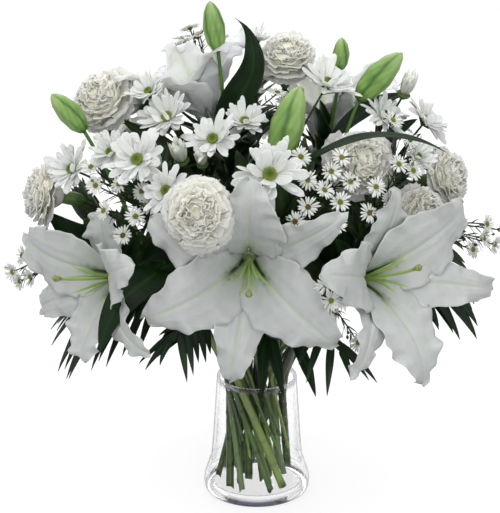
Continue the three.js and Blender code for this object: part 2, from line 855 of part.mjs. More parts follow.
// A frond: one thin arched blade cut to its rib into pointed leaflets, the longest in the middle.
const RIB_HALF = 1;
const RIB_RISE = 18; // how far the middle of the rib arches up
const LEAFLET_OUT = 0.56; // how far a leaflet reaches sideways and hangs down, as a share of its reach
function frondBlade({ start, tip, width, pairs }) {
  const crest = mix(start, tip, 0.5).add(vector(0, 0, RIB_RISE));
  const rib = new THREE.QuadraticBezierCurve3(start, crest, tip);
  const half = LEAF_THICKNESS / 2;
  const up = vector(0, 0, half);
  const points = [];
  const triangles = [];
  const add = (point) => points.push(point.clone().add(up), point.clone().sub(up)) - 2;
  const face = (a, b, c) => triangles.push(a, b, c, a + 1, c + 1, b + 1);
  const wall = (a, b) => triangles.push(a, a + 1, b + 1, a, b + 1, b);
  const lateral = tip.clone().sub(start).cross(vector(0, 0, 1)).normalize();
  const shares = [0, ...Array.from({ length: pairs + 1 }, (_, k) => 0.3 + (0.64 * k) / pairs)];
  const ends = shares.map((share) => {
    const place = rib.getPoint(share);
    return [-1, 1].map((side) => add(place.clone().addScaledVector(lateral, side * RIB_HALF)));
  });
  for (let k = 0; k <= pairs; k++) {
    const [left, right] = ends[k];
    const [farLeft, farRight] = ends[k + 1];
    face(left, right, farRight);
    face(left, farRight, farLeft);
    if (k === 0) {
      wall(right, farRight);
      wall(farLeft, left);
      continue;
    }
    const share = shares[k + 1];
    const run = rib.getTangent(share);
    const reach = width * (0.6 + 0.4 * Math.sin(Math.PI * (share - 0.15)));
    for (const side of [-1, 1]) {
      const point = rib
        .getPoint(share)
        .addScaledVector(lateral, side * LEAFLET_OUT * reach)
        .addScaledVector(run, (0.3 + 0.35 * share) * reach)
        .add(vector(0, 0, -LEAFLET_OUT * reach));
      const end = add(point);
      const [near, far] = side < 0 ? [left, farLeft] : [farRight, right];
      face(near, far, end);
      wall(far, end);
      wall(end, near);
    }
  }
  const end = add(tip.clone().addScaledVector(rib.getTangent(1), 0.4 * width).add(vector(0, 0, -0.3 * width)));
  const [left, right] = ends[pairs + 1];
  face(left, right, end);
  wall(right, end);
  wall(end, left);
  wall(ends[0][0], ends[0][1]);
  return closed(points, triangles);
}

// ---------- the plants ----------
// A plant is a list of pieces. Each has a rank, and gives way to every piece of a lower rank in another
// plant: main stems come first, then branches, blooms, heads and leaves.
const RANK = { stem: 0, branch: 1, bud: 2, heart: 3, bloom: 4, leaf: 5 };
const plants = [];

// The room that a solid takes up with a clearance all round: each corner moves out past all its faces.
function roomOf(solid) {
  const { vertProperties, triVerts } = solid.getMesh();
  const points = Array.from({ length: solid.numVert() }, (_, i) => vector().fromArray(vertProperties, 3 * i));
  const faces = points.map(() => []);
  for (let i = 0; i < triVerts.length; i += 3) {
    const corners = [...triVerts.subarray(i, i + 3)];
    const [a, b, c] = corners.map((corner) => points[corner]);
    const normal = b.clone().sub(a).cross(c.clone().sub(a)).normalize();
    corners.forEach((corner, k) => {
      const here = points[corner];
      const one = points[corners[(k + 1) % 3]].clone().sub(here);
      const other = points[corners[(k + 2) % 3]].clone().sub(here);
      faces[corner].push({ normal, angle: one.angleTo(other) });
    });
  }
  const moved = points.map((point, i) => {
    const mean = vector(0, 0, 0);
    for (const { normal, angle } of faces[i]) mean.addScaledVector(normal, angle);
    mean.normalize();
    const least = Math.min(...faces[i].map(({ normal }) => normal.dot(mean)));
    return point.clone().addScaledVector(mean, CLEARANCE / Math.max(least, SHARPEST));
  });
  return closed(moved, [...triVerts]).add(solid);
}

function grow(name, material, pieces) {
  plants.push({
    name,
    material,
    pieces: pieces.map(([rank, shape]) => ({ rank, shape, room: roomOf(shape) })),
  });
}

const stems = [];
function newStem(goal, arrive, radius, footHeight = VASE_FLOOR + CLEARANCE) {
  const stem = { goal, arrive: arrive.normalize(), radius, footHeight };
  stems.push(stem);
  return stem;
}

// Thin stems are cut shorter and end at various heights in the water.
const shortFoot = (k) => 40 + 11 * (k % 3);

const lilies = LILIES.map((lily) => {
  const axis = axisOf(lily.azimuth, lily.elevation);
  const base = vector(...lily.base);
  const goal = base.clone().addScaledVector(axis, -4);
  return { ...lily, axis, base, stem: newStem(goal, axis.clone(), LILY_STEM) };
});
const carnations = CARNATIONS.map((flower) => {
  const axis = axisOf(flower.azimuth, flower.elevation);
  const centre = vector(...flower.centre);
  const end = centre.clone().addScaledVector(axis, -0.42 * flower.radius - CALYX.at(-1)[0]);
  return { ...flower, axis, centre, stem: newStem(end, axis.clone(), CARNATION_STEM) };
});
const toFork = (spray, radius, footHeight) => {
  const fork = vector(...spray.fork);
  const lean = fork.clone().sub(HEART).add(vector(0, 0, 90));
  return { ...spray, fork, stem: newStem(fork, lean, radius, footHeight) };
};
const daisies = DAISY_SPRAYS.map((spray) => toFork(spray, DAISY_STEM));
const asters = ASTER_SPRAYS.map((spray, k) => toFork(spray, ASTER_STEM, shortFoot(k)));
const fronds = FRONDS.map((frond, k) => {
  const start = vector(...frond.through);
  const tip = vector(...frond.tip);
  return { ...frond, start, tip, stem: newStem(start, tip.clone().sub(start), FROND_STEM, shortFoot(k)) };
});
const blades = BLADES.map((blade, k) => {
  const start = vector(...blade.through);
  const tip = vector(...blade.tip);
  const lean = tip.clone().sub(start).normalize().add(vector(0, 0, 1.2));
  return { ...blade, start, tip, stem: newStem(start, lean, FROND_STEM, shortFoot(k)) };
});

// A carnation's head is an obstacle for every stem and branch but its own.
const obstacles = carnations.map(({ centre, radius, stem }) => ({ route: [centre], radius, parent: stem }));

assignSlots(stems);
stems.forEach(layRoute);
makeRoom(stems, obstacles);

// Branches leave their stem part of the way up and are routed in the same way.
const branches = [];
function newBranch(stem, share, goal, arrive, radius) {
  const from = along(stem.route, share);
  const span = goal.distanceTo(from);
  const heading = along(stem.route, Math.min(share + 0.1, 1)).sub(along(stem.route, share - 0.1)).normalize();
  const curve = new THREE.CubicBezierCurve3(
    from,
    from.clone().addScaledVector(heading, STRAIGHT * span),
    goal.clone().addScaledVector(arrive, -STRAIGHT * span),
    goal,
  );
  const branch = { parent: stem, radius, route: curve.getSpacedPoints(Math.max(3, Math.round(span / STEP))) };
  branches.push(branch);
  return branch;
}

for (const lily of lilies) {
  const base = vector(...lily.bud.base);
  const arrive = vector(...lily.bud.tip).sub(base).normalize();
  lily.pedicel = newBranch(lily.stem, lily.bud.at, base.clone().addScaledVector(arrive, 3), arrive, 2);
}
for (const spray of [...daisies, ...asters]) {
  const small = asters.includes(spray);
  spray.flowers = spray.heads.map(([x, y, z, radius]) => {
    const place = vector(x, y, z);
    const axis = outlook(place);
    const goal = place.clone().addScaledVector(axis, small ? -1 : -3);
    return { place, axis, radius, branch: newBranch(spray.stem, 1, goal, axis, small ? 0.8 : 1.2) };
  });
}
makeRoom(branches, [...stems, ...obstacles]);

lilies.forEach((lily, k) => {
  const name = "lily_" + (k + 1);
  grow(name + "_stem", MATERIALS.lilyGreen, [
    [RANK.stem, stemRod(lily.stem, 0.8 * LILY_STEM)],
    [RANK.bud, lilyBud(lily)],
    ...lily.leaves.map(([share, tip, width]) => {
      const root = along(lily.stem.route, share);
      const end = vector(...tip);
      return [RANK.leaf, leaf(root, bulge(root, end, 0.22), end, width)];
    }),
  ]);
  grow(name + "_heart", MATERIALS.pistil, [[RANK.heart, put(lilyHeart(lily.spread), lily.base, lily.axis)]]);
  grow(name, MATERIALS.lily, [[RANK.bloom, put(lilyBloom(lily), lily.base, lily.axis)]]);
});

carnations.forEach((flower, k) => {
  const name = "carnation_" + (k + 1);
  grow(name + "_stem", MATERIALS.carnationGreen, [
    [RANK.stem, stemRod(flower.stem, CARNATION_STEM, CALYX)],
  ]);
  grow(name, MATERIALS.carnation, [
    [RANK.bloom, put(carnationHead(flower.radius), flower.centre, flower.axis)],
  ]);
});

// The swelling where a stem forks.
function knot(place, radius) {
  return fromGeometry(new THREE.OctahedronGeometry(radius).translate(place.x, place.y, place.z));
}

function spray(name, material, plant, head) {
  grow(name, material, [
    [RANK.stem, stemRod(plant.stem, plant.stem.radius)],
    [RANK.branch, knot(plant.fork, 1.7 * plant.stem.radius)],
    ...plant.flowers.map((flower) => [RANK.branch, headOnBranch(head(flower.radius), flower, 3)]),
  ]);
}
daisies.forEach((plant, k) => spray("daisy_spray_" + (k + 1), MATERIALS.daisy, plant, daisyHead));
asters.forEach((plant, k) => spray("aster_spray_" + (k + 1), MATERIALS.aster, plant, asterHead));

fronds.forEach((frond, k) => {
  grow("frond_" + (k + 1), MATERIALS.frond, [
    [RANK.stem, stemRod(frond.stem, FROND_STEM)],
    [RANK.leaf, frondBlade(frond)],
  ]);
});
blades.forEach((blade, k) => {
  const crest = mix(blade.start, blade.tip, 0.5).add(vector(0, 0, blade.lift));
  grow("long_leaf_" + (k + 1), MATERIALS.blade, [
    [RANK.stem, stemRod(blade.stem, FROND_STEM)],
    [RANK.leaf, leaf(blade.start, crest, blade.tip, blade.width)],
  ]);
});

// ---------- giving way ----------
function boxesMeet(a, b) {
  return [0, 1, 2].every((axis) => a.min[axis] <= b.max[axis] && b.min[axis] <= a.max[axis]);
}

function largest(solid) {
  const bodies = solid.decompose();
  return bodies.reduce((best, body) => (body.volume() > best.volume() ? body : best), bodies[0]);
}

function settle(plant, order) {
  const pieces = plant.pieces.map((piece) => {
    let shape = piece.shape;
    plants.forEach((other, rank) => {
      if (other === plant) return;
      for (const rival of other.pieces) {
        const first = rival.rank < piece.rank || (rival.rank === piece.rank && rank < order);
        if (first && boxesMeet(shape.boundingBox(), rival.room.boundingBox())) shape = shape.subtract(rival.room);
      }
    });
    return shape;
  });
  return largest(union(pieces).simplify(TINY));
}

// ---------- the vase and its water ----------
const vase = turned([[0, 0], ...VASE_OUTSIDE, ...VASE_INSIDE, [0, VASE_FLOOR]], VASE_SIDES);

function waterBody() {
  const inset = VASE_INSIDE.slice(1).toReversed();
  const side = inset.map(([radius, height]) => [radius - CLEARANCE, height + CLEARANCE]);
  const bottom = VASE_FLOOR + CLEARANCE;
  const surface = [[WATER_SIDE_AT_LEVEL, WATER_LEVEL], [0, WATER_LEVEL]];
  const whole = turned([[0, bottom], ...side, ...surface], VASE_SIDES);
  const holes = plants.map((plant) => plant.pieces[0].room);
  return largest(whole.subtract(union(holes)).simplify(TINY));
}

// ---------- the scene ----------
function meshOf(name, material, solid) {
  const { numProp, vertProperties, triVerts } = solid.getMesh();
  const position = new Float32Array(solid.numVert() * 3);
  for (let i = 0; i < solid.numVert(); i++) {
    position.set(vertProperties.subarray(i * numProp, i * numProp + 3), i * 3);
  }
  const geometry = new THREE.BufferGeometry();
  geometry.setAttribute("position", new THREE.BufferAttribute(position, 3));
  geometry.setIndex(new THREE.BufferAttribute(triVerts, 1));
  const mesh = new THREE.Mesh(geometry, new THREE.MeshStandardMaterial(material));
  mesh.name = name;
  return mesh;
}

const bouquet = new THREE.Group();
bouquet.add(meshOf("vase", MATERIALS.glass, vase));
bouquet.add(meshOf("water", MATERIALS.water, waterBody()));
plants.forEach((plant, order) => bouquet.add(meshOf(plant.name, plant.material, settle(plant, order))));

export default bouquet;
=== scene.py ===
"""White lilies, carnations, daisy chrysanthemums and asters in a flared glass vase of water.

Shapes are worked out in millimetres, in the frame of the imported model: +Z up, -Y to the front, the origin in
the middle of the vase's foot. They become metres when a mesh is made.
"""

import json
import math

import bpy
import numpy as np
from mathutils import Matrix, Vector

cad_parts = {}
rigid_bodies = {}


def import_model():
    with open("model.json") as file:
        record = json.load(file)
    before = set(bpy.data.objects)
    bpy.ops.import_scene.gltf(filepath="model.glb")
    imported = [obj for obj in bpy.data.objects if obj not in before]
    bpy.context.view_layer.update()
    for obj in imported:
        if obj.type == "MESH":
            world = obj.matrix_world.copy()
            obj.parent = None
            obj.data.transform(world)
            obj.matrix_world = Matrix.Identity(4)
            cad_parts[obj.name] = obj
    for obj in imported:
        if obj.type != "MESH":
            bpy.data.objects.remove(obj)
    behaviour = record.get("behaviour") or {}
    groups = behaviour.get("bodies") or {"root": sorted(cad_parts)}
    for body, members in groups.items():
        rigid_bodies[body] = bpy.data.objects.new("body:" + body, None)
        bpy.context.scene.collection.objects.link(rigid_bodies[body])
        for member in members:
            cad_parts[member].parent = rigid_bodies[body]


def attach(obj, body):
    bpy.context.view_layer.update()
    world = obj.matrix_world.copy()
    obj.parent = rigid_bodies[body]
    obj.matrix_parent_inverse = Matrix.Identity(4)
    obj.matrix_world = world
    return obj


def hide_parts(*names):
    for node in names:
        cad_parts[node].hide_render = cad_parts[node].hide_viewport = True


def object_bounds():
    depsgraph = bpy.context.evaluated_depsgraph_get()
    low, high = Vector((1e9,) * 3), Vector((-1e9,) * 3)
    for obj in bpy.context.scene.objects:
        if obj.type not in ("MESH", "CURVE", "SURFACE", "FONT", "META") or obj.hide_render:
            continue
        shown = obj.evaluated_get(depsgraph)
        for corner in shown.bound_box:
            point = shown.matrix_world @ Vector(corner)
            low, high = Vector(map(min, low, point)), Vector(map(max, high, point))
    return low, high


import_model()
cad_low, cad_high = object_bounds()
MM = 0.001
rng = np.random.default_rng(27)

# ---------- camera: in front of the bouquet and looking down on it a little ----------
TARGET = np.array([-7, 0, 252])
DISTANCE = 1500
SEEN_HEIGHT = 513  # what the picture shows at the target, from its lower to its upper edge
LOOK_DOWN = math.radians(18)
FILM = 36

camera = bpy.data.objects.new("camera", bpy.data.cameras.new("camera"))
bpy.context.scene.collection.objects.link(camera)
bpy.context.scene.camera = camera
camera.data.sensor_width = FILM
camera.data.lens = FILM * DISTANCE / SEEN_HEIGHT
camera.data.clip_start = 0.05
camera.data.clip_end = 60
stand = TARGET + DISTANCE * np.array([0, -math.cos(LOOK_DOWN), math.sin(LOOK_DOWN)])
camera.location = stand * MM
camera.rotation_euler = (math.pi / 2 - LOOK_DOWN, 0, 0)

# ---------- driving dimensions, as in the solids ----------
VASE_FLOOR = 9.7
VASE_OUTSIDE = [(50, 0), (54.5, 4), (54.8, 13), (49.8, 29), (46.6, 44), (41.2, 122), (39.7, 125.5)]
VASE_INSIDE = [(38.2, 122), (43.6, 44), (46.8, 29), (50.8, 16), (47, VASE_FLOOR)]
WATER_LEVEL = 87
WATER_SIDE = 40.9
NECK_HEIGHT = 131
# rings of stems in the vase: radius at the neck, radius at the foot, share of the stems
RINGS = [(33, 41, 17), (21, 29, 11), (9, 14, 6)]
TWIST = 80  # degrees that the bundle turns from its neck to its foot
LEAD = 22  # degrees that a stem is ahead of its flower at the neck
STEP = 9  # between the points of a route
STRAIGHT = 0.3  # share of a route's span that its end controls lie off its ends
ELBOW_ROOM = 2  # left free between two stems
ROUNDS = 80  # of pushing stems apart
PUSH = 0.3
SMOOTHING = 0.25
FOOT_HEIGHT = VASE_FLOOR + 0.35
LILY_STEM = 3.6
CARNATION_STEM = 2.7
DAISY_STEM = 2.3
ASTER_STEM = 1.5
FROND_STEM = 1.4
CALYX = 24

# base, azimuth, elevation, tepals (turn, length, width, curl and how late it curls), leaves (share of the
# stem, tip, width and the points on the way where it isn't a plain arch), bud (share of the stem, base, tip,
# radius), how far the filaments spread and how much they hang
LILIES = [
    ((-8, -78, 279), 0, -5,
     [(0, 122, 50, 98), (53, 126, 34, 98), (128, 127, 54, 100), (190, 126, 36, 96), (249, 127, 54, 100),
      (301, 126, 44, 118)],
     [(0.8, (-147, -127, 200), 33, (-76, -64, 266), (-103, -98, 261), (-123, -115, 249), (-137, -124, 229)),
      (0.3, (26, -64, 126), 12), (0.34, (4, -70, 122), 11)],
     (0.72, (18, -62, 366), (39, -62, 437), 16), 16, 1),
    ((-128, -52, 250), -46, 5,
     [(355, 76, 36, 112), (66, 128, 46, 92), (116, 122, 30, 106), (163, 98, 50, 78), (240, 112, 32, 118),
      (284, 122, 48, 114)],
     [(0.66, (-206, -14, 302), 38, (-145, -22, 263), (-176, -22, 280)), (0.42, (-96, -84, 178), 20)],
     (0.6, (-166, -16, 384), (-197, -14, 420), 11.5), 16, 0),
    ((97, -66, 252), 40, 15,
     [(14, 100, 34, 94), (59, 130, 50, 96), (108, 138, 34, 92), (179, 128, 52, 98), (226, 126, 30, 100),
      (283, 128, 48, 98)],
     [(0.72, (16, -54, 334), 36, (72, -54, 308), (48, -56, 322)), (0.3, (58, -60, 126), 11)],
     (0.66, (98, 10, 410), (139, 0, 457), 13.5), 16, 0),
    ((-42, 52, 372), -103, 64,
     [(14, 122, 52, 150, 2.4), (72, 108, 46, 44), (126, 118, 56, 66), (184, 124, 46, 78), (240, 116, 56, 84),
      (304, 112, 44, 84)],
     [(0.9, (-21, 18, 488), 47, (-27, 30, 385), (-19, 24, 405), (-7, 20, 428), (-3, 18, 447), (-6, 18, 466),
       (-12, 17, 479)), (0.6, (-120, 90, 330), 24)],
     (0.74, (-38, 34, 452), (-46, 30, 502), 11), 9, 0),
    ((72, 92, 340), 160, 72,
     [(0, 104, 48, 66), (60, 104, 38, 58), (120, 104, 48, 62), (180, 104, 40, 60), (240, 104, 50, 64),
      (300, 104, 40, 60)],
     [(0.6, (166, 90, 372), 24), (0.5, (150, 120, 270), 22)],
     (0.72, (82, 42, 432), (83, 40, 465), 8.5), 9, 0),
    ((-20, 96, 262), 183, 8,
     [(2, 126, 48, 98), (60, 124, 34, 96), (122, 128, 50, 100), (182, 126, 34, 96), (240, 128, 50, 98),
      (300, 124, 34, 100)],
     [(0.62, (-96, 124, 214), 26), (0.62, (60, 130, 205), 24)],
     (0.7, (-4, 112, 384), (-2, 130, 440), 12), 16, 0),
]

# centre, radius, azimuth, elevation
CARNATIONS = [
    ((-52, -142, 337), 36, -4, 22),
    ((-149, 20, 405), 36, -38, 40),
    ((-206, 0, 316), 33, -78, 12),
    ((30, 70, 437), 33, 4, 58),
    ((98, -34, 356), 36, 12, 34),
    ((186, 26, 328), 31, 56, 20),
    ((157, -30, 304), 32, 34, 18),
    ((-128, 124, 336), 35, -140, 22),
    ((104, 158, 300), 35, 146, 16),
]

# fork, heads (place and radius)
DAISY_SPRAYS = [
    ((-92, -20, 300), [(-110, -84, 373, 29), (-83, -104, 349, 25), (-178, -24, 348, 26),
                       (-138, -52, 372, 20)]),
    ((-56, 20, 330), [(-86, -20, 398, 27), (-104, -6, 420, 20), (-42, -42, 382, 27), (-12, -8, 391, 23)]),
    ((2, -34, 300), [(11, -100, 363, 32), (-16, -104, 330, 17), (68, 10, 425, 29), (-2, 60, 458, 17)]),
    ((118, 50, 306), [(122, 0, 394, 23), (167, 28, 383, 27), (153, -30, 362, 18), (134, 116, 372, 27)]),
    ((-20, 100, 300), [(-116, 106, 384, 27), (-58, 132, 380, 25), (10, 156, 350, 28), (-150, 76, 362, 22)]),
]
# half-open heads: number of the spray, place, radius
DAISY_BUDS = [(1, (-94, -60, 358), 11), (2, (-72, -44, 362), 12), (2, (-52, -50, 360), 9),
              (4, (142, 6, 416), 11), (4, (112, 36, 424), 8), (5, (-96, 134, 352), 11)]
ASTER_SPRAYS = [
    ((-90, -40, 300), [(-152, -64, 343), (-143, -84, 324), (-129, -74, 347), (-113, -96, 322),
                       (-126, -84, 300), (-108, -74, 340)]),
    ((26, -66, 300), [(34, -112, 322), (46, -106, 334), (46, -92, 356), (76, -96, 336), (68, -84, 362),
                      (72, -108, 318)]),
    ((112, -48, 308), [(132, -66, 364), (110, -80, 346), (124, -72, 330), (104, -84, 322), (144, -44, 382)]),
    ((60, -60, 240), [(62, -142, 271), (66, -148, 258), (77, -138, 256), (96, -92, 196), (68, -96, 226)]),
    ((140, 20, 280), [(224, -10, 274), (236, -4, 266), (228, 0, 286), (216, 4, 258), (242, 0, 280)]),
    ((-140, 20, 270), [(-244, -6, 238), (-238, 0, 226), (-226, -10, 234), (-236, 10, 250)]),
    ((-34, 100, 350), [(-76, 88, 456), (-68, 92, 466), (-60, 86, 458), (-84, 94, 446), (20, 30, 412),
                       (28, 36, 402)]),
]
ASTER_RADIUS = 10

# where the rib starts and ends, how far leaflets reach, pairs of leaflets, their width and droop
FRONDS = [
    ((-62, -4, 202), (-156, -20, 222), 112, 6, 8.5, 0.62),
    ((-36, -50, 196), (-80, -112, 206), 50, 3, 6, 0.62),
    ((46, -50, 192), (78, -110, 194), 52, 2, 6.5, 0.8),
    ((84, -4, 214), (184, -14, 236), 84, 6, 11, 0.6),
    ((10, 70, 200), (28, 168, 212), 78, 6, 9.5, 0.5),
]
# start, tip, width, how far the middle is lifted
LONG_LEAVES = [
    ((40, -50, 358), (176, -66, 376), 6, 46),
    ((76, 36, 366), (146, 32, 410), 16, 17),
]


# ---------- materials ----------
MIX_A, MIX_B, MIXED = 6, 7, 2  # the colour inputs of a mix node and its colour output


def srgb(text):
    """The linear colour of an sRGB hex value."""
    parts = [int(text[i:i + 2], 16) / 255 for i in (1, 3, 5)]
    return [p / 12.92 if p <= 0.04045 else ((p + 0.055) / 1.055) ** 2.4 for p in parts] + [1]


def add(tree, kind, links=(), values=(), stops=(), **settings):
    """A shader node of one kind with its settings. Links are (its input, another node's output), values are
    (its input, a constant) and the stops of a colour ramp are (position, hex colour)."""
    node = tree.nodes.new("ShaderNode" + kind)
    for key, value in settings.items():
        setattr(node, key, value)
    for where, value in values:
        node.inputs[where].default_value = value
    for where, output in links:
        tree.links.new(output, node.inputs[where])
    for _ in stops[2:]:
        node.color_ramp.elements.new(0.5)
    for number, (place, colour) in enumerate(stops):
        node.color_ramp.elements[number].position = place
        node.color_ramp.elements[number].color = srgb(colour)
    return node


def new_material(name, **shader):
    """A material with one shader, its plain numbers on the shader's own sockets, and the tree to add to."""
    made = bpy.data.materials.new(name)
    made.use_nodes = True
    surface = made.node_tree.nodes["Principled BSDF"]
    for key, value in shader.items():
        surface.inputs[key.replace("_", " ")].default_value = value
    return made, made.node_tree, surface


def plant_skin(name, main, second, pale, roughness, veins, **shader):
    """The skin of a petal or leaf. The attribute "tint" mixes the main colour to the second with its first
    number and to the pale one with its second. Fine noise over the surface varies it, and lines along the
    piece's own map, some millimetres apart, stand up as veins."""
    made, tree, surface = new_material(name, Roughness=roughness, Subsurface_Radius=(1, 1, 0.85), **shader)
    tint = add(tree, "Attribute", attribute_name="tint")
    shares = add(tree, "SeparateColor", [(0, tint.outputs["Color"])])
    place = add(tree, "TexCoord")
    mottle = add(tree, "TexNoise", [("Vector", place.outputs["Object"])],
                 [("Scale", 90), ("Detail", 4)])
    tone = add(tree, "ValToRGB", [(0, mottle.outputs["Fac"])],
               stops=[(0.3, main[1]), (0.7, main[0])]).outputs[0]
    for number, colour in enumerate((second, pale)):
        mixed = add(tree, "Mix", [(0, shares.outputs[number]), (MIX_A, tone)],
                    [(MIX_B, srgb(colour))], data_type="RGBA")
        tone = mixed.outputs[MIXED]
    tree.links.new(tone, surface.inputs["Base Color"])
    lines = add(tree, "TexWave", [("Vector", place.outputs["UV"])],
                [("Scale", veins), ("Distortion", 0.6)], bands_direction="X")
    grain = add(tree, "TexNoise", [("Vector", place.outputs["Object"])], [("Scale", 900)])
    both = add(tree, "Math", [(0, lines.outputs["Fac"]), (1, grain.outputs["Fac"])], operation="ADD")
    bump = add(tree, "Bump", [("Height", both.outputs[0])],
               [("Strength", 0.35), ("Distance", 0.15 * MM)])
    tree.links.new(bump.outputs[0], surface.inputs["Normal"])
    return made


# Fresh lily petal: smooth, matt and waxy, white with a green heart and faint lengthwise veins.
lily_petal = plant_skin("lily petal", ("#c8cac9", "#bfc2c0"), "#24520c", "#b7c98a", 0.45, 1.6,
                        Subsurface_Weight=0.7, Subsurface_Scale=1.5 * MM)
# Lily petal of the two upper flowers: a brightened copy, painted whiter and more translucent to light them in
# their shade.
lit_lily_petal = plant_skin("brightened lily petal", ("#f8faf8", "#f2f5f2"), "#4f7430", "#c9d6a4", 0.45, 1.6,
                         Subsurface_Weight=0.9, Subsurface_Scale=6 * MM)
# Lily style and filaments: pale green, smooth and damp.
lily_pistil = plant_skin("lily pistil", ("#9dbb66", "#8fac58"), "#7b8040", "#c3d498", 0.35, 0.6)
# Lily bud: pale green skin, darker along its three seams, fine ribs along it.
lily_bud = plant_skin("lily bud", ("#86ad57", "#789e4b"), "#3a6826", "#b2ca84", 0.42, 3.2)
# Lily leaf and stem: dark green, satin, ribbed along the leaf.
lily_leaf = plant_skin("lily leaf", ("#0f290b", "#0b2008"), "#071804", "#2a4f1f", 0.45, 1.6,
                       Specular_IOR_Level=0.18)
# Cut stem under water and above: smooth, fresh green with dark scars, and painted shade higher up.
stem_skin = plant_skin("flower stem", ("#5d8f30", "#4a7624"), "#222610", "#b4c474", 0.4, 0.4)
# Carnation petal: thin, dry and matt, cream, and warmer towards its base.
carnation_petal = plant_skin("carnation petal", ("#ecebde", "#e7e5d5"), "#f8f1d2", "#f0eee2", 0.7, 1.2,
                             Subsurface_Weight=0.85, Subsurface_Scale=6 * MM)
# Carnation calyx and stem: blue-green with a wax bloom.
carnation_green = plant_skin("carnation calyx", ("#58763a", "#4a6830"), "#263317", "#8ba173", 0.5, 0.8)
# Daisy chrysanthemum ray: matt white with two grooves.
daisy_ray = plant_skin("daisy ray", ("#f1f3ef", "#eaede7"), "#ccd69a", "#f6f8f4", 0.55, 1.2,
                       Subsurface_Weight=0.6, Subsurface_Scale=3 * MM)
# Daisy disc: hundreds of tiny green-yellow florets.
daisy_disc = plant_skin("daisy disc", ("#6c8524", "#5c751f"), "#2f4a10", "#9a9e38", 0.65, 0.5)
# Aster ray: thin, matt and white.
aster_ray = plant_skin("aster ray", ("#eceeea", "#e2e5df"), "#bfca90", "#f0f2ee", 0.6, 1.0)
# Aster disc: tiny yellow-green florets that brown as they age.
aster_disc = plant_skin("aster disc", ("#8c9a34", "#7d8d2e"), "#6a4a1e", "#b3a94a", 0.7, 0.5)
# Twiggy stalks and small leaves of the sprays: dull dark green.
spray_green = plant_skin("spray stalk", ("#22381a", "#1a2c12"), "#0e1c08", "#5f7a3c", 0.55, 0.6,
                         Specular_IOR_Level=0.3)
# Palm leaflet: deep green, satin, ribbed.
palm_leaf = plant_skin("palm leaflet", ("#112a10", "#0d220c"), "#081808", "#224121", 0.48, 1.6,
                       Specular_IOR_Level=0.3)
# Long blade-like leaf: nearly black green, glossy.
blade_leaf = plant_skin("long blade leaf", ("#172e17", "#122612"), "#0b1a0b", "#2b4a27", 0.4, 1.4,
                        Specular_IOR_Level=0.35)


def clear(name, ior, painted_edge_tones, body):
    """A clear polished body: nearly see-through where it is looked at squarely, and fuller of its own gloss
    and refraction towards its outline, where the path through it is longest. Its colour darkens towards the
    outline as painted shade for the dark edges of glass."""
    made, tree, surface = new_material(name, Roughness=0.02, IOR=ior, Transmission_Weight=1.0)
    slant = add(tree, "LayerWeight", values=[("Blend", 0.5)])
    for socket, stops in (("Alpha", body), ("Base Color", painted_edge_tones)):
        shade = add(tree, "ValToRGB", [(0, slant.outputs["Facing"])], stops=stops)
        tree.links.new(shade.outputs[0], surface.inputs[socket])
    return made, tree, surface


# Pressed soda-lime glass, fire polished: clear, with slight ripples, and painted dark violet shade along its
# outline and in bands at its foot, its turn and its rim.
glass, glass_tree, glass_surface = clear(
    "soda-lime glass", 1.5, [(0.0, "#ffffff"), (0.6, "#eaebf2"), (0.8, "#77778f"), (0.95, "#1d1b30")],
    [(0.0, "#101010"), (0.5, "#161616"), (0.72, "#6a6a6a"), (0.88, "#fafafa")])
glass_place = add(glass_tree, "TexCoord")
glass_height = add(glass_tree, "SeparateXYZ", [(0, glass_place.outputs["Object"])])
height_share = add(glass_tree, "MapRange", [(0, glass_height.outputs[2])],
                   [("From Max", VASE_OUTSIDE[-1][1] * MM)])
# over the height, the foot, the turn above it and the rim get painted shade in dark bands, and are fuller than
# the wall
height_painted_shade = add(glass_tree, "ValToRGB", [(0, height_share.outputs[0])], stops=[
    (0.0, "#07061a"), (0.025, "#14122e"), (0.036, "#f4f5fa"), (0.08, "#f4f5fa"), (0.087, "#5a5a80"),
    (0.1, "#f4f5fa"), (0.94, "#ffffff"), (0.97, "#3a3556")])
height_body = add(glass_tree, "ValToRGB", [(0, height_share.outputs[0])], stops=[
    (0.0, "#ffffff"), (0.025, "#f0f0f0"), (0.035, "#161616"), (0.08, "#101010"), (0.087, "#a0a0a0"),
    (0.1, "#000000"), (0.94, "#000000"), (0.97, "#c0c0c0")])
slant_painted_shade, slant_body = (glass_surface.inputs[name].links[0].from_socket for name in ("Base Color", "Alpha"))
both_painted_shades = add(glass_tree, "Mix", [(MIX_A, height_painted_shade.outputs[0]), (MIX_B, slant_painted_shade)], [(0, 1)],
                 data_type="RGBA", blend_type="MULTIPLY")
both_bodies = add(glass_tree, "Math", [(0, height_body.outputs[0]), (1, slant_body)],
                  operation="MAXIMUM")
ripple = add(glass_tree, "TexNoise", [("Vector", glass_place.outputs["Object"])], [("Scale", 35)])
glass_bump = add(glass_tree, "Bump", [("Height", ripple.outputs["Fac"])],
                 [("Strength", 0.15), ("Distance", 0.6 * MM)])
for socket, output in (("Base Color", both_painted_shades.outputs[MIXED]), ("Alpha", both_bodies.outputs[0]),
                       ("Normal", glass_bump.outputs[0])):
    glass_tree.links.new(output, glass_surface.inputs[socket])

# Still tap water: clear, seen mostly by the line of its surface; its colour greys towards its outline as
# painted shade.
water, *_ = clear("tap water", 1.333, [(0.0, "#f4faf6"), (0.9, "#a9b3ad")],
                  [(0.0, "#141414"), (0.5, "#141414"), (0.9, "#686868")])


# ---------- meshes ----------
# In the surfaces, s or u runs along a petal or leaf from 0 to 1 and v runs across it from -1 to 1.
BACK = np.array([0, 1])[:, None, None]  # which side of a plate: 0 for its face and 1 for its back
ROUND = 2 * np.pi


def held(numbers):
    """Numbers held between 0 and 1."""
    return np.clip(numbers, 0, 1)


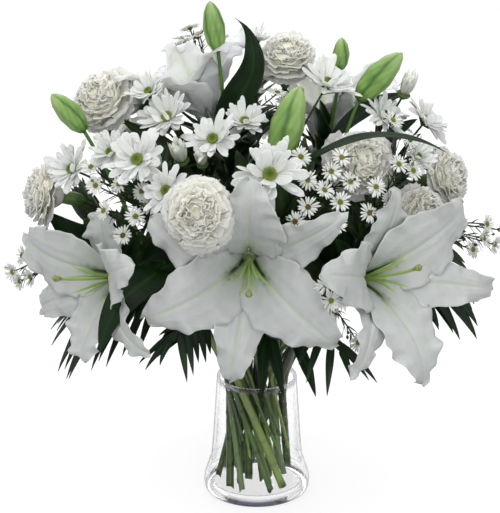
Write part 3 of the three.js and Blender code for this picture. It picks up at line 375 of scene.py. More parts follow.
def bell(numbers):
    """A bell curve that is 1 at zero: the exponential of minus the square."""
    return np.exp(-(numbers**2))


def arc(first, middle, last, t):
    """The quadratic curve with three control points."""
    return first * (1 - t) ** 2 + 2 * middle * t * (1 - t) + last * t**2


def unit(vectors):
    """Each vector scaled to length one."""
    return vectors / np.maximum(np.linalg.norm(vectors, axis=-1, keepdims=True), 1e-9)


def grid_faces(rows, cols, wrap=False):
    """Quads between neighbouring rows and columns of a grid. Wrapped, the last column joins the first."""
    i, j = np.meshgrid(np.arange(rows - 1), np.arange(cols if wrap else cols - 1), indexing="ij")
    k = (j + 1) % cols
    return np.stack([i * cols + j, i * cols + k, (i + 1) * cols + k, (i + 1) * cols + j], -1).reshape(-1, 4)


def repeated(faces, copies, stride):
    """The same faces for each of several equal point sets."""
    return (faces[None] + (np.arange(copies) * stride)[:, None, None]).reshape(-1, faces.shape[1])


def sheets(middle, thickness):
    """Closed thin plates. middle is (rows, columns, 3) for one plate or has the number of plates before; each
    point moves half the thickness to either side along the surface's normal, and a strip closes the rim.
    Returns points (copies, 2, rows, columns, 3) and faces."""
    middle = middle.reshape(-1, *middle.shape[-3:])
    copies, rows, cols = middle.shape[:3]
    normal = unit(np.cross(np.gradient(middle, axis=2), np.gradient(middle, axis=1)))
    half = np.broadcast_to(thickness, middle.shape[:3])[..., None] / 2
    points = np.stack([middle + normal * half, middle - normal * half], 1)
    size = rows * cols
    face = grid_faces(rows, cols)
    number = np.arange(size).reshape(rows, cols)
    rim = np.concatenate([number[0, :-1], number[:-1, -1], number[-1, :0:-1], number[:0:-1, 0]])
    ahead = np.roll(rim, -1)
    strip = np.stack([ahead, rim, rim + size, ahead + size], -1)
    once = np.concatenate([face, face[:, ::-1] + size, strip])
    return points, [repeated(once, copies, 2 * size)]


def skins(rings):
    """Closed skins over rings (rings, points, 3), or with the number of skins before: quads between rings and
    one face over each end."""
    rings = rings.reshape(-1, *rings.shape[-3:])
    copies, count, sides = rings.shape[:3]
    stride = count * sides
    ends = np.stack([np.arange(sides)[::-1], np.arange(stride - sides, stride)])
    return rings, [repeated(grid_faces(count, sides, True), copies, stride), repeated(ends, copies, stride)]


def tubes(path, radius, sides):
    """Round rods along a path (points, 3), or with the number of rods before, with a radius at each point.
    The rings lie across the path's tangent and start from the normal of the plane in which the path bends."""
    path = path.reshape(-1, *path.shape[-2:])
    run = unit(np.gradient(path, axis=1))
    chord = unit(path[:, -1] - path[:, 0])
    plane = np.cross(chord, run[:, 0])
    axis = np.eye(3)[np.argmin(np.abs(chord), axis=1)]
    flat = np.linalg.norm(plane, axis=1, keepdims=True) < 0.05
    start = unit(np.where(flat, np.cross(chord, axis), plane))[:, None]
    across = unit(start - run * np.sum(start * run, -1, keepdims=True))
    beside = np.cross(run, across)
    turn = np.linspace(0, ROUND, sides, endpoint=False)
    ring = across[..., None, :] * np.cos(turn)[:, None] + beside[..., None, :] * np.sin(turn)[:, None]
    return skins(path[..., None, :] + ring * np.asarray(radius)[..., None, None])


def turned(profile, sides):
    """A profile of (radius, height) carried round the Z axis."""
    radius, height = np.maximum(np.array(profile, float).T, [[0.01], [-1e9]])[..., None]
    turn = np.linspace(0, ROUND, sides, endpoint=False)
    return skins(np.stack([radius * np.cos(turn), radius * np.sin(turn), height + 0 * turn], -1))


def smooth_line(points, each):
    """A Catmull-Rom curve through the points, with some steps between each two."""
    p = np.array(points, float)
    p = np.concatenate([2 * p[:1] - p[1:2], p, 2 * p[-1:] - p[-2:-1]])
    t = (np.arange(each) / each)[None, :, None]
    a, b, c, d = (p[i:len(p) - 3 + i][:, None] for i in range(4))
    curve = 0.5 * (2 * b + (c - a) * t + (2 * a - 5 * b + 4 * c - d) * t**2 + (3 * b - a - 3 * c + d) * t**3)
    return np.concatenate([curve.reshape(-1, p.shape[1]), p[-2:-1]])


def part(made, tint=(0, 0), uv=None, material=0):
    """Points and faces with their tint, their place on the piece's own map and their material's number."""
    points, faces = made
    flat = points.reshape(-1, 3)
    green, pale, *place = (np.broadcast_to(x, points.shape[:-1]).ravel() for x in (*tint, *(uv or ())))
    colour = held(np.stack([green, pale, 0 * green, 0 * green + 1], -1))
    return flat, faces, colour, np.stack(place, -1) if uv else flat[:, :2] / 10, material


def piece(name, parts, materials, slot, *nodes):
    """One object out of parts, at the origin, in metres. It rides on the root and stands for the nodes."""
    counts = np.cumsum([0] + [len(p[0]) for p in parts])
    faces = [(f + start, p[4]) for p, start in zip(parts, counts) for f in p[1]]
    corner = np.concatenate([f.ravel() for f, _ in faces]).astype(np.int32)
    lengths = np.concatenate([np.full(len(f), f.shape[1]) for f, _ in faces])
    mesh = bpy.data.meshes.new(name)
    points = np.concatenate([p[0] for p in parts]) * MM
    mesh.vertices.add(len(points))
    mesh.vertices.foreach_set("co", points.astype(np.float32).ravel())
    mesh.loops.add(len(corner))
    mesh.loops.foreach_set("vertex_index", corner)
    mesh.polygons.add(len(lengths))
    mesh.polygons.foreach_set("loop_start", (np.cumsum(lengths) - lengths).astype(np.int32))
    mesh.polygons.foreach_set("material_index",
                              np.concatenate([np.full(len(f), m) for f, m in faces]).astype(np.int32))
    mesh.polygons.foreach_set("use_smooth", np.ones(len(lengths), bool))
    mesh.update(calc_edges=True)
    tint = mesh.attributes.new("tint", "FLOAT_COLOR", "POINT")
    tint.data.foreach_set("color", np.concatenate([p[2] for p in parts]).astype(np.float32).ravel())
    own_map = mesh.uv_layers.new(name="surface")
    own_map.uv.foreach_set("vector", np.concatenate([p[3] for p in parts])[corner].astype(np.float32).ravel())
    mesh.validate()
    for material in materials:
        mesh.materials.append(material)
    made = bpy.data.objects.new(name, mesh)
    bpy.context.scene.collection.objects.link(made)
    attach(made, "root")
    if nodes:
        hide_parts(*nodes)
    return made


# ---------- placing ----------
def axis_of(azimuth, elevation):
    """The direction of an azimuth, 0 to the front and 90 to the right, and an elevation."""
    az, el = math.radians(azimuth), math.radians(elevation)
    return np.array([math.sin(az) * math.cos(el), -math.cos(az) * math.cos(el), math.sin(el)])


def placed(parts, place, axis):
    """Parts made with their axis along +Z, turned to an axis with their +Y side up, and moved to a place."""
    right = unit(np.array([-axis[1], axis[0], 0]))
    turn = np.stack([right, np.cross(axis, right), axis])
    return [(points @ turn + np.array(place, float), *rest) for points, *rest in parts]


HEART = np.array([0, 30, 250.0])


def outlook(place):
    """A head looks away from the bouquet's heart, and in front also towards the viewer."""
    away = unit(np.array(place[:3], float) - HEART)
    front = min(max((60 - place[1]) / 100, 0), 1)
    return unit(away + np.array([0, -0.75 * front, 0.25 * front]))


# ---------- the routes of stems and branches, as in the solids ----------
def bezier(ends, t):
    """The cubic curve with four control points."""
    a, b, c, d = ends
    t = t[:, None]
    return a * (1 - t) ** 3 + 3 * b * t * (1 - t) ** 2 + 3 * c * t**2 * (1 - t) + d * t**3


def spaced(ends, count=None):
    """Points spaced evenly along a cubic curve: its running length is turned back into its parameter."""
    t = np.linspace(0, 1, 201)
    run = np.concatenate([[0], np.cumsum(np.linalg.norm(np.diff(bezier(ends, t), axis=0), axis=1))])
    count = count or max(3, math.floor(run[-1] / STEP + 0.5))
    return bezier(ends, np.interp(np.linspace(0, run[-1], count + 1), run, t))


def new_stem(goal, arrive, radius, foot_height=FOOT_HEIGHT):
    """A stem by the place and direction in which it ends, before its foot, neck and route are known."""
    return {"goal": np.array(goal, float), "arrive": unit(np.array(arrive, float)), "radius": radius,
            "foot_height": foot_height}


def assign_slots(stems):
    """Every stem gets a place in one of the rings of the twisted bundle, the widest-leaning ones outside."""
    lean = [math.hypot(*s["goal"][:2]) / (s["goal"][2] - 60) for s in stems]
    order = sorted(range(len(stems)), key=lambda k: -lean[k])
    share = len(stems) / sum(ring[2] for ring in RINGS)
    taken, filled = 0, 0.0
    for neck, foot, wanted in RINGS:
        filled += wanted * share
        members = [stems[k] for k in order[taken:math.floor(filled + 0.5)]]
        taken = math.floor(filled + 0.5)
        members.sort(key=lambda s: math.atan2(s["goal"][1], s["goal"][0]))
        bearing = [math.atan2(s["goal"][1], s["goal"][0]) for s in members]
        pitch = 2 * math.pi / len(members)
        start = np.mean([b - k * pitch for k, b in enumerate(bearing)])
        for k, stem in enumerate(members):
            angle = start + k * pitch + math.radians(LEAD)
            below = angle + math.radians(TWIST)
            stem["neck"] = np.array([neck * math.cos(angle), neck * math.sin(angle), NECK_HEIGHT])
            floor = np.array([foot * math.cos(below), foot * math.sin(below), FOOT_HEIGHT])
            part_way = (stem["foot_height"] - floor[2]) / (NECK_HEIGHT - floor[2])
            stem["foot"] = floor + (stem["neck"] - floor) * part_way


def bent(start, heading, goal, arrive, count=None, leave=STRAIGHT, reach=STRAIGHT):
    """Even points on the curve that leaves its start in one direction and comes to its goal in another, with
    its controls off its ends by shares of the span."""
    span = np.linalg.norm(goal - start)
    return spaced([start, start + heading * leave * span, goal - arrive * reach * span, goal], count)


def lay_route(stem):
    """A stem leaves the neck in line with its lower part and arrives in line with its flower."""
    rise = unit(stem["neck"] - stem["foot"])
    stem["route"] = bent(stem["neck"], rise, stem["goal"], stem["arrive"])


def make_room(moving, still):
    """Routes that come closer than they are thick are pushed apart a little at a time, and smoothed."""
    everyone = moving + still
    owner = np.concatenate([np.full(len(s["route"]), k) for k, s in enumerate(everyone)])
    radius = np.array([s["radius"] for s in everyone])[owner]
    kin = np.array([[a is b or b is a.get("parent") or a is b.get("parent") for b in everyone]
                    for a in moving])
    count = sum(len(s["route"]) for s in moving)
    apart = np.where(kin[owner[:count]][:, owner], -1, radius[:count, None] + radius + ELBOW_ROOM)
    fixed = np.concatenate([s["route"] for s in still]) if still else np.zeros((0, 3))
    bounds = np.cumsum([0] + [len(s["route"]) for s in moving])
    points = np.concatenate([s["route"] for s in moving])
    inner = np.ones(count, bool)
    inner[bounds[:-1]] = inner[bounds[1:] - 1] = False
    inner = np.flatnonzero(inner)
    for _ in range(ROUNDS):
        every = np.concatenate([points, fixed])
        square = np.sum(points**2, 1)[:, None] + np.sum(every**2, 1) - 2 * points @ every.T
        a, b = np.nonzero((square < apart**2) & (apart > 0))
        way = points[a] - every[b]
        gap = np.linalg.norm(way, axis=1)
        near = gap > 1e-6
        a, way, gap, wide = a[near], way[near], gap[near], apart[a[near], b[near]]
        moved = points.copy()
        np.add.at(moved, a, way * (PUSH * np.maximum(wide - gap, 0) / gap)[:, None])
        middle = (moved[inner - 1] + moved[inner + 1]) / 2
        points[inner] = moved[inner] + (middle - moved[inner]) * SMOOTHING
    for stem, low, high in zip(moving, bounds[:-1], bounds[1:]):
        stem["route"] = points[low:high]


def along(route, share):
    """The point of a route nearest to a share of its length."""
    return route[math.floor(share * (len(route) - 1) + 0.5)]


def new_branch(stem, share, goal, arrive, radius):
    """A branch leaves its stem in the stem's own direction."""
    start = along(stem["route"], share)
    heading = unit(along(stem["route"], min(share + 0.1, 1)) - along(stem["route"], share - 0.1))
    count = max(3, math.floor(np.linalg.norm(goal - start) / STEP + 0.5))
    return {"parent": stem, "radius": radius, "route": bent(start, heading, goal, arrive, count)}


def short_foot(k):
    """Thin stems are cut shorter and end at various heights in the water."""
    return 40 + 11 * (k % 3)


lily_stems = []
for base, azimuth, elevation, *_ in LILIES:
    axis = axis_of(azimuth, elevation)
    lily_stems.append(new_stem(base - 4 * axis, axis, LILY_STEM))
carnation_stems = []
for centre, radius, azimuth, elevation in CARNATIONS:
    axis = axis_of(azimuth, elevation)
    carnation_stems.append(new_stem(centre - axis * (0.42 * radius + CALYX), axis, CARNATION_STEM))
daisy_stems = [new_stem(fork, fork - HEART + [0, 0, 90], DAISY_STEM) for fork, _ in DAISY_SPRAYS]
aster_stems = [new_stem(fork, fork - HEART + [0, 0, 90], ASTER_STEM, short_foot(k))
               for k, (fork, _) in enumerate(ASTER_SPRAYS)]
frond_stems = [new_stem(start, np.subtract(tip, start), FROND_STEM, short_foot(k))
               for k, (start, tip, *_) in enumerate(FRONDS)]
blade_stems = [new_stem(start, unit(np.subtract(tip, start)) + [0, 0, 1.2], FROND_STEM, short_foot(k))
               for k, (start, tip, *_) in enumerate(LONG_LEAVES)]
stems = lily_stems + carnation_stems + daisy_stems + aster_stems + frond_stems + blade_stems
obstacles = [{"route": np.array([centre], float), "radius": radius, "parent": stem}
             for (centre, radius, *_), stem in zip(CARNATIONS, carnation_stems)]
assign_slots(stems)
for stem in stems:
    lay_route(stem)
make_room(stems, obstacles)

pedicels = []
for lily, stem in zip(LILIES, lily_stems):
    share, base, tip, _ = lily[5]
    arrive = unit(np.subtract(tip, base))
    pedicels.append(new_branch(stem, share, base + 3 * arrive, arrive, 2))


def spray_branches(sprays, stems, reach, radius):
    """One branch from the fork to each head."""
    return [[new_branch(stem, 1, np.array(head[:3]) - reach * outlook(head), outlook(head), radius)
             for head in heads] for (_, heads), stem in zip(sprays, stems)]


daisy_branches = spray_branches(DAISY_SPRAYS, daisy_stems, 3, 1.2)
aster_branches = spray_branches(ASTER_SPRAYS, aster_stems, 1, 0.8)
branches = pedicels + sum(daisy_branches, []) + sum(aster_branches, [])
make_room(branches, stems + obstacles)


# ---------- stems and leaves ----------
STEM_SIDES = 12


def fine_route(route, step=3):
    """A route with its points a few millimetres apart."""
    run = np.concatenate([[0], np.cumsum(np.linalg.norm(np.diff(route, axis=0), axis=1))])
    t = np.linspace(0, run[-1], max(4, int(run[-1] / step)))
    return np.stack([np.interp(t, run, route[:, k]) for k in range(3)], -1), t


def stem_part(stem, tip, knots, material=0, cup=()):
    """A stem from its cut end up: a round rod whose radius swells a little at knots some millimetres apart,
    with dark scars there, a random tone, and painted shade that darkens it from 60 mm up to 120 mm and above.
    It may end in a calyx, given as (distance, radius) past its end."""
    line, run = fine_route(np.concatenate([[stem["foot"]], stem["route"]]))
    radius = np.interp(run, [0, 150, run[-1]], [1.12 * stem["radius"], 1.12 * stem["radius"], tip])
    phase = rng.uniform(0, knots)
    knot = bell(((run + phase) % knots - knots / 2) / 1.6)
    radius = radius * (1 + 0.13 * knot)
    line = np.concatenate([line] + [[stem["route"][-1] + stem["arrive"] * d] for d, _ in cup])
    radius = np.concatenate([radius, [r for _, r in cup]])
    # a random tone for each stem, and painted shade, darker from 60 mm up to 120 mm and above
    shade = rng.uniform(-0.1, 0.7) + 0.45 * held((line[:, 2] - 60) / 60)
    scar_and_shade = np.concatenate([held(0.9 * knot + shade[:len(knot)]), np.zeros(len(cup))])
    # the cut: a pale face, slanted by raising one side of the end, with the green skin starting at its rim
    line = np.concatenate([line[:1], line[:1] + 0.1 * unit(line[1:2] - line[:1]), line[1:]])
    radius = np.concatenate([[0.93 * radius[0]], radius])
    scar_and_shade = np.concatenate([[0.0], scar_and_shade])
    pale = np.full(len(line), rng.choice([0.0, 0.3]))
    pale[0] = 1
    turn = np.linspace(0, 1, STEM_SIDES, endpoint=False)
    rings, faces = tubes(line, radius, STEM_SIDES)
    slant = 1.5 * radius[0] * (1 + np.cos(ROUND * turn + phase))
    rings[0, :2] += unit(line[3] - line[0]) * slant[:, None]
    own_map = (turn * 2, np.arange(len(line))[:, None] * 0.3)
    return part((rings, faces), (scar_and_shade[:, None], pale[:, None]), own_map, material)


def branch_part(branch, material=0):
    """A thin branch as one rod that tapers by a tenth."""
    radius = np.linspace(1, 0.9, len(branch["route"])) * branch["radius"]
    return part(tubes(branch["route"], radius, 6), (0.2, 0), material=material)


def leaf_part(root, middle, tip, width, fold=0.22, material=0, rows=30, cols=13, wave=1.0, facing=(0, 0, 1),
              line=None, taper=0.0):
    """A lance-shaped leaf along the curve root, middle, tip, or along a given line, with its upper side to
    the facing direction. Half its width is a bent sine of the length, its margins rise with the fold and wave
    a little, and its midrib is a groove."""
    s = np.linspace(0, 1, rows)[:, None]
    if line is None:
        root, middle, tip = (np.array(p, float) for p in (root, middle, tip))
        line = arc(root, middle, tip, s)
    else:
        line = smooth_line(line, 8)
        line = np.stack([np.interp(s[:, 0] * (len(line) - 1), np.arange(len(line)), line[:, k])
                         for k in range(3)], -1)
    run = unit(np.gradient(line, axis=0))
    side = np.cross(run, facing)
    # where the leaf runs straight at the facing direction, its side is taken to the right
    side = unit(side + np.array([0.5, 0, 0]) * held(1.6 - np.linalg.norm(side, axis=1, keepdims=True) / 0.2))
    face = np.cross(side, run)
    half = width / 2 * np.sin(np.pi * s**0.8) ** 0.75 * (1 - s) ** taper
    half = np.maximum(half + 1.2 * (1 - s), 0.15)
    v = np.linspace(-1, 1, cols)[None]
    phase = rng.uniform(0, 6)
    ripple = wave * 0.9 * np.sin(ROUND * 2.3 * s + phase + 2 * np.sign(v)) * v**2 * np.sin(np.pi * s)
    lift = fold * half * np.abs(v) ** 1.3 - 0.5 * bell(v * half / 0.9) + ripple
    surface = line[:, None] + side[:, None] * (v * half)[..., None] + face[:, None] * lift[..., None]
    rib = bell(v * half / 0.8) * (0.9 - 0.5 * s)
    tint = (0.35 * np.cos(9 * v) * (1 - BACK), 0.35 * BACK + 0.55 * rib)
    return part(sheets(surface, 0.9 * (1 - 0.7 * np.abs(v) ** 4)), tint, (v * half / 10, s * 10), material)


def arch(root, tip, lift):
    """The middle point of a leaf that arches by a share of its length."""
    root, tip = np.array(root, float), np.array(tip, float)
    return (root + tip) / 2 + [0, 0, lift * np.linalg.norm(tip - root)]


# ---------- lilies ----------
TEPAL_ROWS, TEPAL_COLS = 52, 27
# a real tepal is wider and a little longer than its rigid solid, whose margins stay clear of their neighbours
FULLER, LONGER = 1.3, 1.04
TEPAL_START = math.radians(14)
TIP_ROLL = math.radians(48)
FINE_STEPS = 400


def tepal_angle(s, curl, late):
    """How far a tepal's midline has turned from the axis: from its start it bends to its curl with a power of
    the length, and over the last fifth it rolls back further."""
    bend = math.radians(curl) - TEPAL_START
    return TEPAL_START + bend * s**late + TIP_ROLL * held((s - 0.8) / 0.2) ** 2


def tepal_part(turn, length, width, curl, late=1):
    """A tepal. Its midline is the running sum of the sine and cosine of its angle. Half the width is a power
    of a sine of the length; near the throat it wraps round the axis. The margins bend back and wave in long
    and short ruffles, a groove runs along the middle, and the columns lie closer together there."""
    s = np.linspace(0, 1, TEPAL_ROWS)[:, None]
    v = np.linspace(-1, 1, TEPAL_COLS)[None]
    v = np.sign(v) * np.abs(v) ** 1.35
    out_start, up_start = (4.5, 0) if width > 38 else (9.5, -5)
    length = LONGER * length
    width = FULLER * width
    fine_angle = tepal_angle((np.arange(FINE_STEPS) + 0.5) / FINE_STEPS, curl, late)
    steps = np.linspace(0, 1, FINE_STEPS + 1)
    out, up = (np.interp(s, steps, start + np.concatenate([[0], np.cumsum(way)]) * length / FINE_STEPS)
               for start, way in ((out_start, np.sin(fine_angle)), (up_start, np.cos(fine_angle))))
    angle = tepal_angle(s, curl, late)
    way = math.radians(turn)
    outward = np.array([math.sin(way), math.cos(way), 0])
    lateral = np.array([math.cos(way), -math.sin(way), 0])
    inner = -np.cos(angle)[..., None] * outward + np.sin(angle)[..., None] * np.array([0, 0, 1])
    half = width / 2 * np.sin(np.pi * np.clip(s, 1e-6, 1 - 1e-6) ** 0.92) ** (2.0 - 1.5 * s) + 4 * (1 - s)
    half = np.maximum(half, 0.25)
    bow = np.maximum((1 - s) ** 1.2 / out, 1e-4)
    seed = rng.uniform(0, 6.28, 4)
    edge = np.abs(v) ** 2.2
    long_wave = 4.5 * s * np.sin(ROUND * 1.4 * s + turn + 1.6 * np.sign(v))
    grow = held(1.4 * s) ** 1.5
    ruffle = 2.9 * np.sin(ROUND * 3.9 * s + seed[0] + 2.1 * np.sign(v)) * grow
    ruffle += 1.7 * np.sin(ROUND * 8.3 * s + seed[1] - 1.3 * np.sign(v)) * grow
    half = half * (1 + (0.045 * np.sin(ROUND * 5.2 * s + seed[2] + 1.7 * np.sign(v))
                        + 0.02 * np.sin(ROUND * 12 * s + seed[0] * np.sign(v))) * edge * grow)
    groove = -1.2 * bell(v * half / 1.9) * held(1.1 - s)
    swell = 1.5 * np.sin(3 * np.pi * s + seed[2]) * np.sin(2.2 * v + seed[3]) * s
    swell = swell - 0.45 * np.cos(ROUND * 1.25 * v) * np.sin(np.pi * s)
    swell = swell - 0.28 * np.cos(ROUND * 3.4 * v + 0.8 * np.sin(4 * s)) * np.sin(np.pi * s)
    lift = edge * (long_wave + (0.6 + width / 90) * ruffle - 0.12 * s * half) + groove + swell
    lift -= 0.06 * half * (1 - edge)
    across = np.sin(bow * half * v) / bow
    back = (np.cos(bow * half * v) - 1) / bow
    middle = outward * out[..., None] + np.array([0, 0, 1]) * up[..., None]
    surface = middle + lateral * across[..., None] + outward * back[..., None] + inner * lift[..., None]
    # a green streak from the throat with dots beside it, a pale glow round it, and a green rib at the back
    rib = bell(v * half / 1.5)
    throat = held(1 - s / 0.15) ** 1.2
    strong = 1 if width > 50 else 0.55
    streak = strong * np.exp(-((v * half / 3.0) ** 4)) * held(2.7 - s / 0.125)
    dots = 0.6 + 0.4 * np.sin(ROUND * s * 34)
    beside = dots * bell((np.abs(v * half) - 4.4) / 1.2) * bell((s - 0.26) / 0.07)
    glow = bell(v * half / 5) * held(1.3 - s / 0.35)
    inside = 0.3 * throat + streak + 0.75 * strong * beside
    wide_rib = bell(v * half / (2.2 + 2.5 * (1 - s)))
    outside = 0.6 * wide_rib * (1 - s) ** 0.7 + 0.4 * held(1 - s / 0.2)
    glow = held(0.4 * rib * (1 - 0.7 * s) + 0.65 * glow) * (1 - streak)
    return part(sheets(surface, 1.1 * (1 - 0.65 * edge)),
                (np.where(BACK, outside, inside), np.where(BACK, 0.25 * wide_rib, glow)),
                (v * half / 10, s * length / 10))


def lily_petals(tepals):
    """The throat and the six tepals."""
    throat = turned(smooth_line([(0, -9), (5, -8.6), (8.2, -5), (8.6, 0), (6.5, 4), (0, 6)], 4), 24)
    return [part(throat, (0.75, 0.2))] + [tepal_part(*t) for t in tepals]


def lily_pistil_parts(spread, hang):
    """Ovary, a style that curves up to a three-lobed stigma, and six filaments that bow outwards to their
    spread. With hang at 1, the style curves down and the upper filaments sag, as under their own weight."""
    z = np.linspace(3, 84, 30)
    line = np.stack([0 * z, (9 - 12 * hang) * (z / 84) ** 2, z], -1)
    radius = np.interp(z, [3, 16, 20, 50, 78, 81, 84], [3.2, 3.1, 1.5, 1.3, 1.6, 3.0, 3.4])
    parts = [part(tubes(line, radius, 12), ((z > 76)[:, None] * 0.9, 0.1))]
    lobes = []
    t = np.linspace(0, 1, 7)
    for way in np.radians([30, 150, 270]):
        spot = line[-1] + np.stack([2.4 * t * math.cos(way), 2.4 * t * math.sin(way), 1.2 - t**2], -1)
        lobes.append(part(tubes(spot, 1.9 * np.sqrt(1.02 - t**2), 8), (0.9, 0.1)))
    t = np.linspace(0, 1, 16)
    for k in range(6):
        way = math.pi / 2 - math.radians(30 + 60 * k)
        reach = 1.5 + (spread - 1.5) * (0.55 * t + 0.45 * t**2) + rng.uniform(-2, 2) * t**2
        sideways = rng.uniform(-2, 2) * np.sin(np.pi * t) + 2.5 * t**2
        rise = reach * math.sin(way) + sideways
        rise = rise - hang * (0.6 * np.maximum(rise, 0) + 6 * t**2)
        spot = np.stack([reach * math.cos(way), rise, 12 + 46 * t], -1)
        radius = np.interp(t, [0, 0.85, 1], [1.5, 1.05, 0.4])
        parts.append(part(tubes(spot, radius, 8), (0, 0.35 * t[:, None])))
    return parts + lobes


def bud_parts(base, tip, radius):
    """A closed bud: three broad tepals folded together leave three furrows with a raised rib between them,
    and the whole is a spindle with a blunt tip. Furrows and ribs are bell curves round a slow spiral."""
    way = np.subtract(tip, base)
    length = np.linalg.norm(way)
    s = np.linspace(0, 1, 44)[:, None]
    turn = np.linspace(0, ROUND, 48, endpoint=False)[None]
    wide = radius * np.interp(s, [0, 0.04, 0.2, 0.5, 0.8, 0.94, 1], [0.3, 0.48, 0.84, 1.0, 0.7, 0.36, 0.05])
    spiral = turn + 0.5 * s
    third = spiral * 3 / ROUND
    furrow = bell((third % 1 - 0.5) / 0.085)
    rib = bell(((third + 0.5) % 1 - 0.5) / 0.06)
    shape = wide * (1 + 0.045 * np.cos(3 * spiral) - 0.1 * furrow + 0.03 * rib)
    points = np.stack([shape * np.cos(turn), shape * np.sin(turn), s * length + 0 * turn], -1)
    green = held(0.9 * furrow + 0.6 * rib + 0.7 * held(1 - s / 0.12))
    green = green + 0.3 * np.cos(18 * spiral) ** 4
    pale = 0.6 * held((s - 0.6) / 0.4) + 0.25 * np.cos(3 * turn + 1) * s
    return placed([part(skins(points), (green, pale), (turn * 3, s * length / 10))], base, unit(way))


# ---------- dark leaves that fill the bouquet ----------
LILY_REACH = 96  # a leaf stays behind the face of a lily within this distance of its middle
ROOTS_ABOVE = 175
TIPS_ABOVE = 205


def small_heads(carnation=1.0, other=1.0):
    """Middle and radius of every carnation, daisy and aster head, with the radii times a share."""
    found = [(c, carnation * r) for c, r, *_ in CARNATIONS]
    found += [(h[:3], other * h[3]) for _, heads in DAISY_SPRAYS for h in heads]
    found += [(h, other * ASTER_RADIUS) for _, heads in ASTER_SPRAYS for h in heads]
    return [(np.array(place, float), radius) for place, radius in found]


# the two upper lilies are rather cups than wide faces, so a ball stands for each of them
HEADS = small_heads() + [(b + 30 * axis_of(az, el), 40) for b, az, el, *_ in LILIES[3:5]]
head_way = np.array([c for c, _ in HEADS]) - HEART
head_radius = np.array([r for _, r in HEADS])
wide_lilies = LILIES[:3] + LILIES[5:]
lily_axis = np.array([axis_of(az, el) for _, az, el, *_ in wide_lilies])
lily_way = np.array([lily[0] for lily in wide_lilies], float) + 24 * lily_axis - HEART


def shell(way):
    """How far from the heart a leaf may reach in a direction: a share of the mean distance of heads around,
    short of each head that it would touch and behind the flat face of each lily."""
    ahead = head_way @ way
    far = np.linalg.norm(head_way, axis=1)
    weight = np.exp((ahead / far - 1) / 0.03) + 1e-9
    aside = np.sqrt(np.maximum(far**2 - ahead**2, 0))
    hit = (aside < head_radius + 9) & (ahead > 0)
    slope = np.maximum(lily_axis @ way, 0.12)
    face = np.sum(lily_way * lily_axis, axis=1) / slope
    off = np.linalg.norm(face[:, None] * way - lily_way, axis=1)
    behind_lily = np.min(np.where(off < LILY_REACH, face - 9, 1e9))
    short_of_head = np.min(np.where(hit, ahead - 0.35 * head_radius - 6, 1e9))
    return min(0.93 * np.sum(weight * far) / np.sum(weight), behind_lily, short_of_head)


fill = {id(s): [] for s in stems}
carriers = lily_stems + daisy_stems + aster_stems
root_spots = np.concatenate([s["route"] for s in carriers])
root_owner = np.concatenate([np.full(len(s["route"]), k) for k, s in enumerate(carriers)])
allowed = root_spots[:, 2] > ROOTS_ABOVE
root_spots, root_owner = root_spots[allowed], root_owner[allowed]


def fill_leaf(tip, width, *by, reach=58):
    """A leaf to a given tip from the stem point that lies nearest to a wanted distance below it, or through
    given points from the stem point nearest to the first of them."""
    first = np.array(by[0] if by else tip, float)
    gap = np.linalg.norm(root_spots - first, axis=1)
    best = int(np.argmin(gap if by else np.abs(gap - reach) + 0.25 * (root_spots - first)[:, 2]))
    root = root_spots[best]
    out = unit(first - HEART)
    stem = carriers[root_owner[best]]
    fill[id(stem)].append(leaf_part(root, (root + tip) / 2 + out * 0.12 * reach, tip, width, rows=12, cols=5,
                                    wave=0.8, material=1, facing=out + [0, -0.3, 0.2],
                                    line=[root, *by, tip] if by else None))


# an outer layer of leaves, a sparser one nearer the heart, and two leaves that stand out by themselves
for share, count in ((1.0, 300), (0.72, 130)):
    for _ in range(count):
        way = unit(rng.normal(0, 1, 3))
        way[2] = abs(way[2]) * 1.05 - 0.18
        way = unit(way)
        tip = HEART + way * shell(way) * share
        if tip[2] > TIPS_ABOVE:
            fill_leaf(tip, rng.uniform(14, 23) / share, reach=rng.uniform(40, 75))
fill_leaf(np.array([155, 25, 349]), 15, (120, 34, 392), (131, 30, 388), (144, 28, 370))
fill_leaf(np.array([86, 8, 322]), 26, (52, 10, 352), (66, 8, 344))


for k, (lily, stem, pedicel) in enumerate(zip(LILIES, lily_stems, pedicels), 1):
    base, azimuth, elevation, tepals, leaves, bud, *pistil = lily
    axis = axis_of(azimuth, elevation)
    white = lit_lily_petal if k in (4, 5) else lily_petal
    piece(f"lily_{k}_petals", placed(lily_petals(tepals), base, axis), [white], "lily_petal", f"lily_{k}")
    piece(f"lily_{k}_pistil", placed(lily_pistil_parts(*pistil), base, axis), [lily_pistil], "lily_pistil",
          f"lily_{k}_heart")
    greens = [stem_part(stem, 0.8 * LILY_STEM, 27), branch_part(pedicel)]
    for share, tip, width, *by in leaves:
        root = along(stem["route"], share)
        greens.append(leaf_part(root, arch(root, tip, 0.22), tip, width, material=1,
                                facing=unit(np.array([tip[0] / 2, min(tip[1], 0) - 60, 50])),
                                line=[root, *by, tip] if by else None, taper=0.9 if len(by) > 4 else 0))
    greens += fill[id(stem)]
    piece(f"lily_{k}_greens", greens, [stem_skin, lily_leaf], "lily_green", f"lily_{k}_stem")
    piece(f"lily_{k}_bud", bud_parts(*bud[1:]), [lily_bud], "lily_green")


# ---------- carnations ----------
# Layers from the outside in: radius and height of the petals' edge as shares of the head's radius, and count
CARNATION_LAYERS = [(1.01, -0.1, 5), (0.98, 0.1, 5), (0.88, 0.28, 6), (0.77, 0.42, 6), (0.65, 0.52, 6),
                    (0.53, 0.59, 6), (0.42, 0.64, 6), (0.32, 0.67, 5), (0.22, 0.69, 5), (0.12, 0.7, 3)]
PETAL_ROWS, PETAL_COLS = 11, 31


